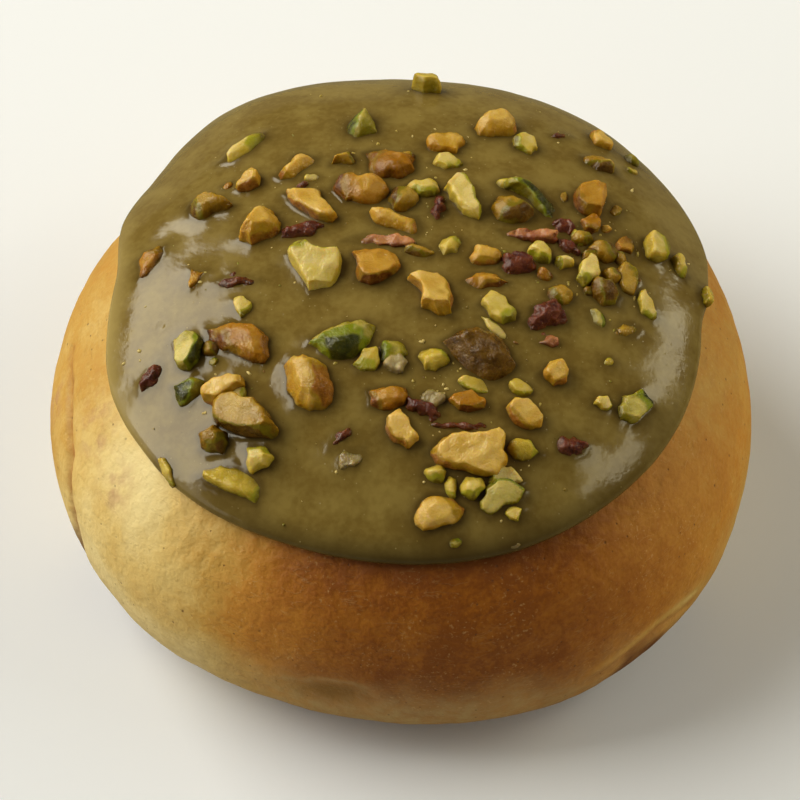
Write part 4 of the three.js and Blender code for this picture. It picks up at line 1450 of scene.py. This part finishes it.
def nutMaterial(kind):
    material, tree = newMaterial(kind + "_nut")
    look, surface, place = nutLooks[kind], nutSurface, millimetres(tree)
    broad = clouds(tree, place, *surface["broad"])
    fine = clouds(tree, place, *surface["fine"])
    ways = surface["flesh"]
    # The shade attribute carries painted light on the tops as well as each piece's own tone
    share = reckon(tree, "MULTIPLY", attribute(tree, "shade"), ways["shade"])
    share = reckon(tree, "ADD", share, ways["least"])
    share = swing(tree, swing(tree, share, broad, ways["broad"]), fine, ways["fine"])
    share = reckon(tree, "ADD", share, reckon(tree, "MULTIPLY", attribute(tree, "edge"), ways["edge"]))
    flesh = ramp(tree, share, list(zip((0.0, 0.5, 1.0), look["flesh"])))
    uneven = swing(tree, swing(tree, 0.5, broad, surface["side"]["broad"]), fine, surface["side"]["fine"])
    side = blend(tree, uneven, *[colour(*tint) for tint in look["skin"]])
    skinned = attribute(tree, "skin")
    fleshed = reckon(tree, "SUBTRACT", 1.0, skinned)
    rim = reckon(tree, "MULTIPLY", reckon(tree, "MULTIPLY", skinned, fleshed), surface["rimWidth"])
    tint = blend(tree, rim, blend(tree, skinned, flesh, side), colour(*look["rim"]))
    tint = lay(tree, tint, pores(tree, place, *surface["crumbs"]), (surface["crumbTint"], look["crumbs"]))
    tint = lay(tree, tint, pores(tree, place, *surface["pocks"]), (surface["pockTint"], look["pocks"]))
    # Darker towards the glaze: wetting, and painted contact shade
    tint = lay(tree, tint, attribute(tree, "wetShadedFoot"), surface["wetShadedFoot"])
    rough, change = surface["roughness"]
    finishMaterial(
        tree,
        {
            "Base Color": tint,
            "Roughness": swing(tree, rough, broad, change),
            "Normal": bump(tree, fine, surface["relief"]),
            "IOR": surface["ior"],
            "Subsurface Weight": surface["glow"]["share"],
            "Subsurface Radius": surface["glow"]["reach"],
            "Subsurface Scale": surface["glow"]["depth"] * mm,
        },
    )
    return material


dustStops = [
    (0.0, (0.06, 0.02, 0.01)),
    (0.2, (0.22, 0.1, 0.012)),
    (0.4, (0.22, 0.2, 0.012)),
    (0.75, (0.46, 0.32, 0.06)),
    (1.0, (0.64, 0.5, 0.18)),
]


def dustMaterial():
    material, tree = newMaterial("nut_dust")
    tint = ramp(tree, attribute(tree, "shade"), dustStops)
    finishMaterial(tree, {"Base Color": tint, "Roughness": 0.3})
    return material


# Camera, lights and floor
view = {"elevation": 53, "distance": 0.55, "target": (-0.1, 0.3, 16.5), "lens": 181.8, "shiftY": 0.0025}
lights = [  # name, place, side it faces, width, height, roll, brightness, colour, seen in the gloss
    ("leftWindow", (-0.8, 0.48, 1.0), 1, 1.45, 1.2, 0, 5.6, (1, 0.96, 0.8), True),
    ("leftLow", (-0.8, -0.2, 0.3), 1, 1.0, 0.6, 0, 1.0, (1, 0.95, 0.82), True),
    ("rightStrip", (0.8, 0.24, 0.66), -1, 1.2, 0.15, -36, 4.6, (1, 0.93, 0.66), True),
    ("rightRoom", (0.8, 0.4, 0.5), -1, 1.4, 0.9, 0, 1.5, (1, 0.94, 0.72), False),
    ("rightLow", (0.8, -0.3, 0.2), -1, 1.0, 0.5, 0, 0.8, (1, 0.94, 0.72), False),
]
floorLook = {"seen": (0.87, 0.9, 1.0), "bounced": (0.7, 0.66, 0.58), "mirrored": (0.2, 0.18, 0.12)}
worldLook = {"seen": (0.93, 0.93, 0.93), "fill": (0.05, 0.047, 0.042)}


def makeCamera():
    data = bpy.data.cameras.new("camera")
    camera = bpy.data.objects.new("camera", data)
    scene.collection.objects.link(camera)
    lean = math.radians(view["elevation"])
    target = Vector(view["target"]) * mm
    back = Vector((0, -math.cos(lean), math.sin(lean)))
    camera.location = target + back * view["distance"]
    camera.rotation_euler = (math.pi / 2 - lean, 0, 0)
    data.sensor_width = 36
    data.lens = view["lens"]
    data.shift_y = view["shiftY"]
    data.clip_start = 0.01
    data.clip_end = 50
    scene.camera = camera


def makeLights():
    for name, place, faces, width, height, roll, brightness, tint, glossy in lights:
        data = bpy.data.lights.new(name, "AREA")
        data.shape = "RECTANGLE"
        data.size = width
        data.size_y = height
        data.energy = brightness * width * height * math.pi
        data.color = tint
        lamp = bpy.data.objects.new(name, data)
        scene.collection.objects.link(lamp)
        lamp.location = place
        facing = Vector((faces, 0, 0)).to_track_quat("-Z", "Y")
        lamp.rotation_euler = (facing @ Quaternion((0, 0, 1), math.radians(roll))).to_euler()
        lamp.visible_camera = False
        lamp.visible_glossy = glossy


def makeStage():
    bpy.ops.object.select_all(action="DESELECT")
    bpy.ops.mesh.primitive_plane_add(size=8)
    floor = bpy.context.object
    floor.name = "floor"
    material, tree = newMaterial("floor")
    path = put(tree, "ShaderNodeLightPath")
    bounced, seen, mirrored = [colour(*floorLook[name]) for name in ("bounced", "seen", "mirrored")]
    tint = blend(tree, path.outputs["Is Camera Ray"], bounced, seen)
    tint = blend(tree, path.outputs["Is Glossy Ray"], tint, mirrored)
    finishMaterial(tree, {"Base Color": tint, "Roughness": 0.9})
    floor.data.materials.append(material)
    world = bpy.data.worlds.new("studio")
    scene.world = world
    world.use_nodes = True
    tree = world.node_tree
    tree.nodes.clear()
    seen = put(tree, "ShaderNodeLightPath").outputs["Is Camera Ray"]
    fill = put(tree, "ShaderNodeBackground", {"Color": colour(*worldLook["fill"])})
    pale = put(tree, "ShaderNodeBackground", {"Color": colour(*worldLook["seen"])})
    mixed = put(tree, "ShaderNodeMixShader", {0: seen, 1: fill.outputs[0], 2: pale.outputs[0]})
    put(tree, "ShaderNodeOutputWorld", {"Surface": mixed.outputs[0]})


makeCamera()
makeLights()
makeStage()
print("camera, lights and floor made")

crustPiece = makeCrust()
crustPiece.data.materials.append(crustMaterial())
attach(crustPiece, "root")
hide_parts("bun")
print("crust made:", len(crustPiece.data.polygons), "faces")

nutPieces, footprints = makeNuts()
for kind, piece in nutPieces.items():
    piece.data.materials.append(nutMaterial(kind))
dustPiece = makeDust(footprints)
dustPiece.data.materials.append(dustMaterial())
print("dust made:", len(dustPiece.data.polygons), "faces")
icingPiece = makeIcing(footprints)
icingPiece.data.materials.append(icingMaterial())
print("icing made:", len(icingPiece.data.polygons), "faces")
for piece in [*nutPieces.values(), dustPiece, icingPiece]:
    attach(piece, "root")
    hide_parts("pistachio_glaze")
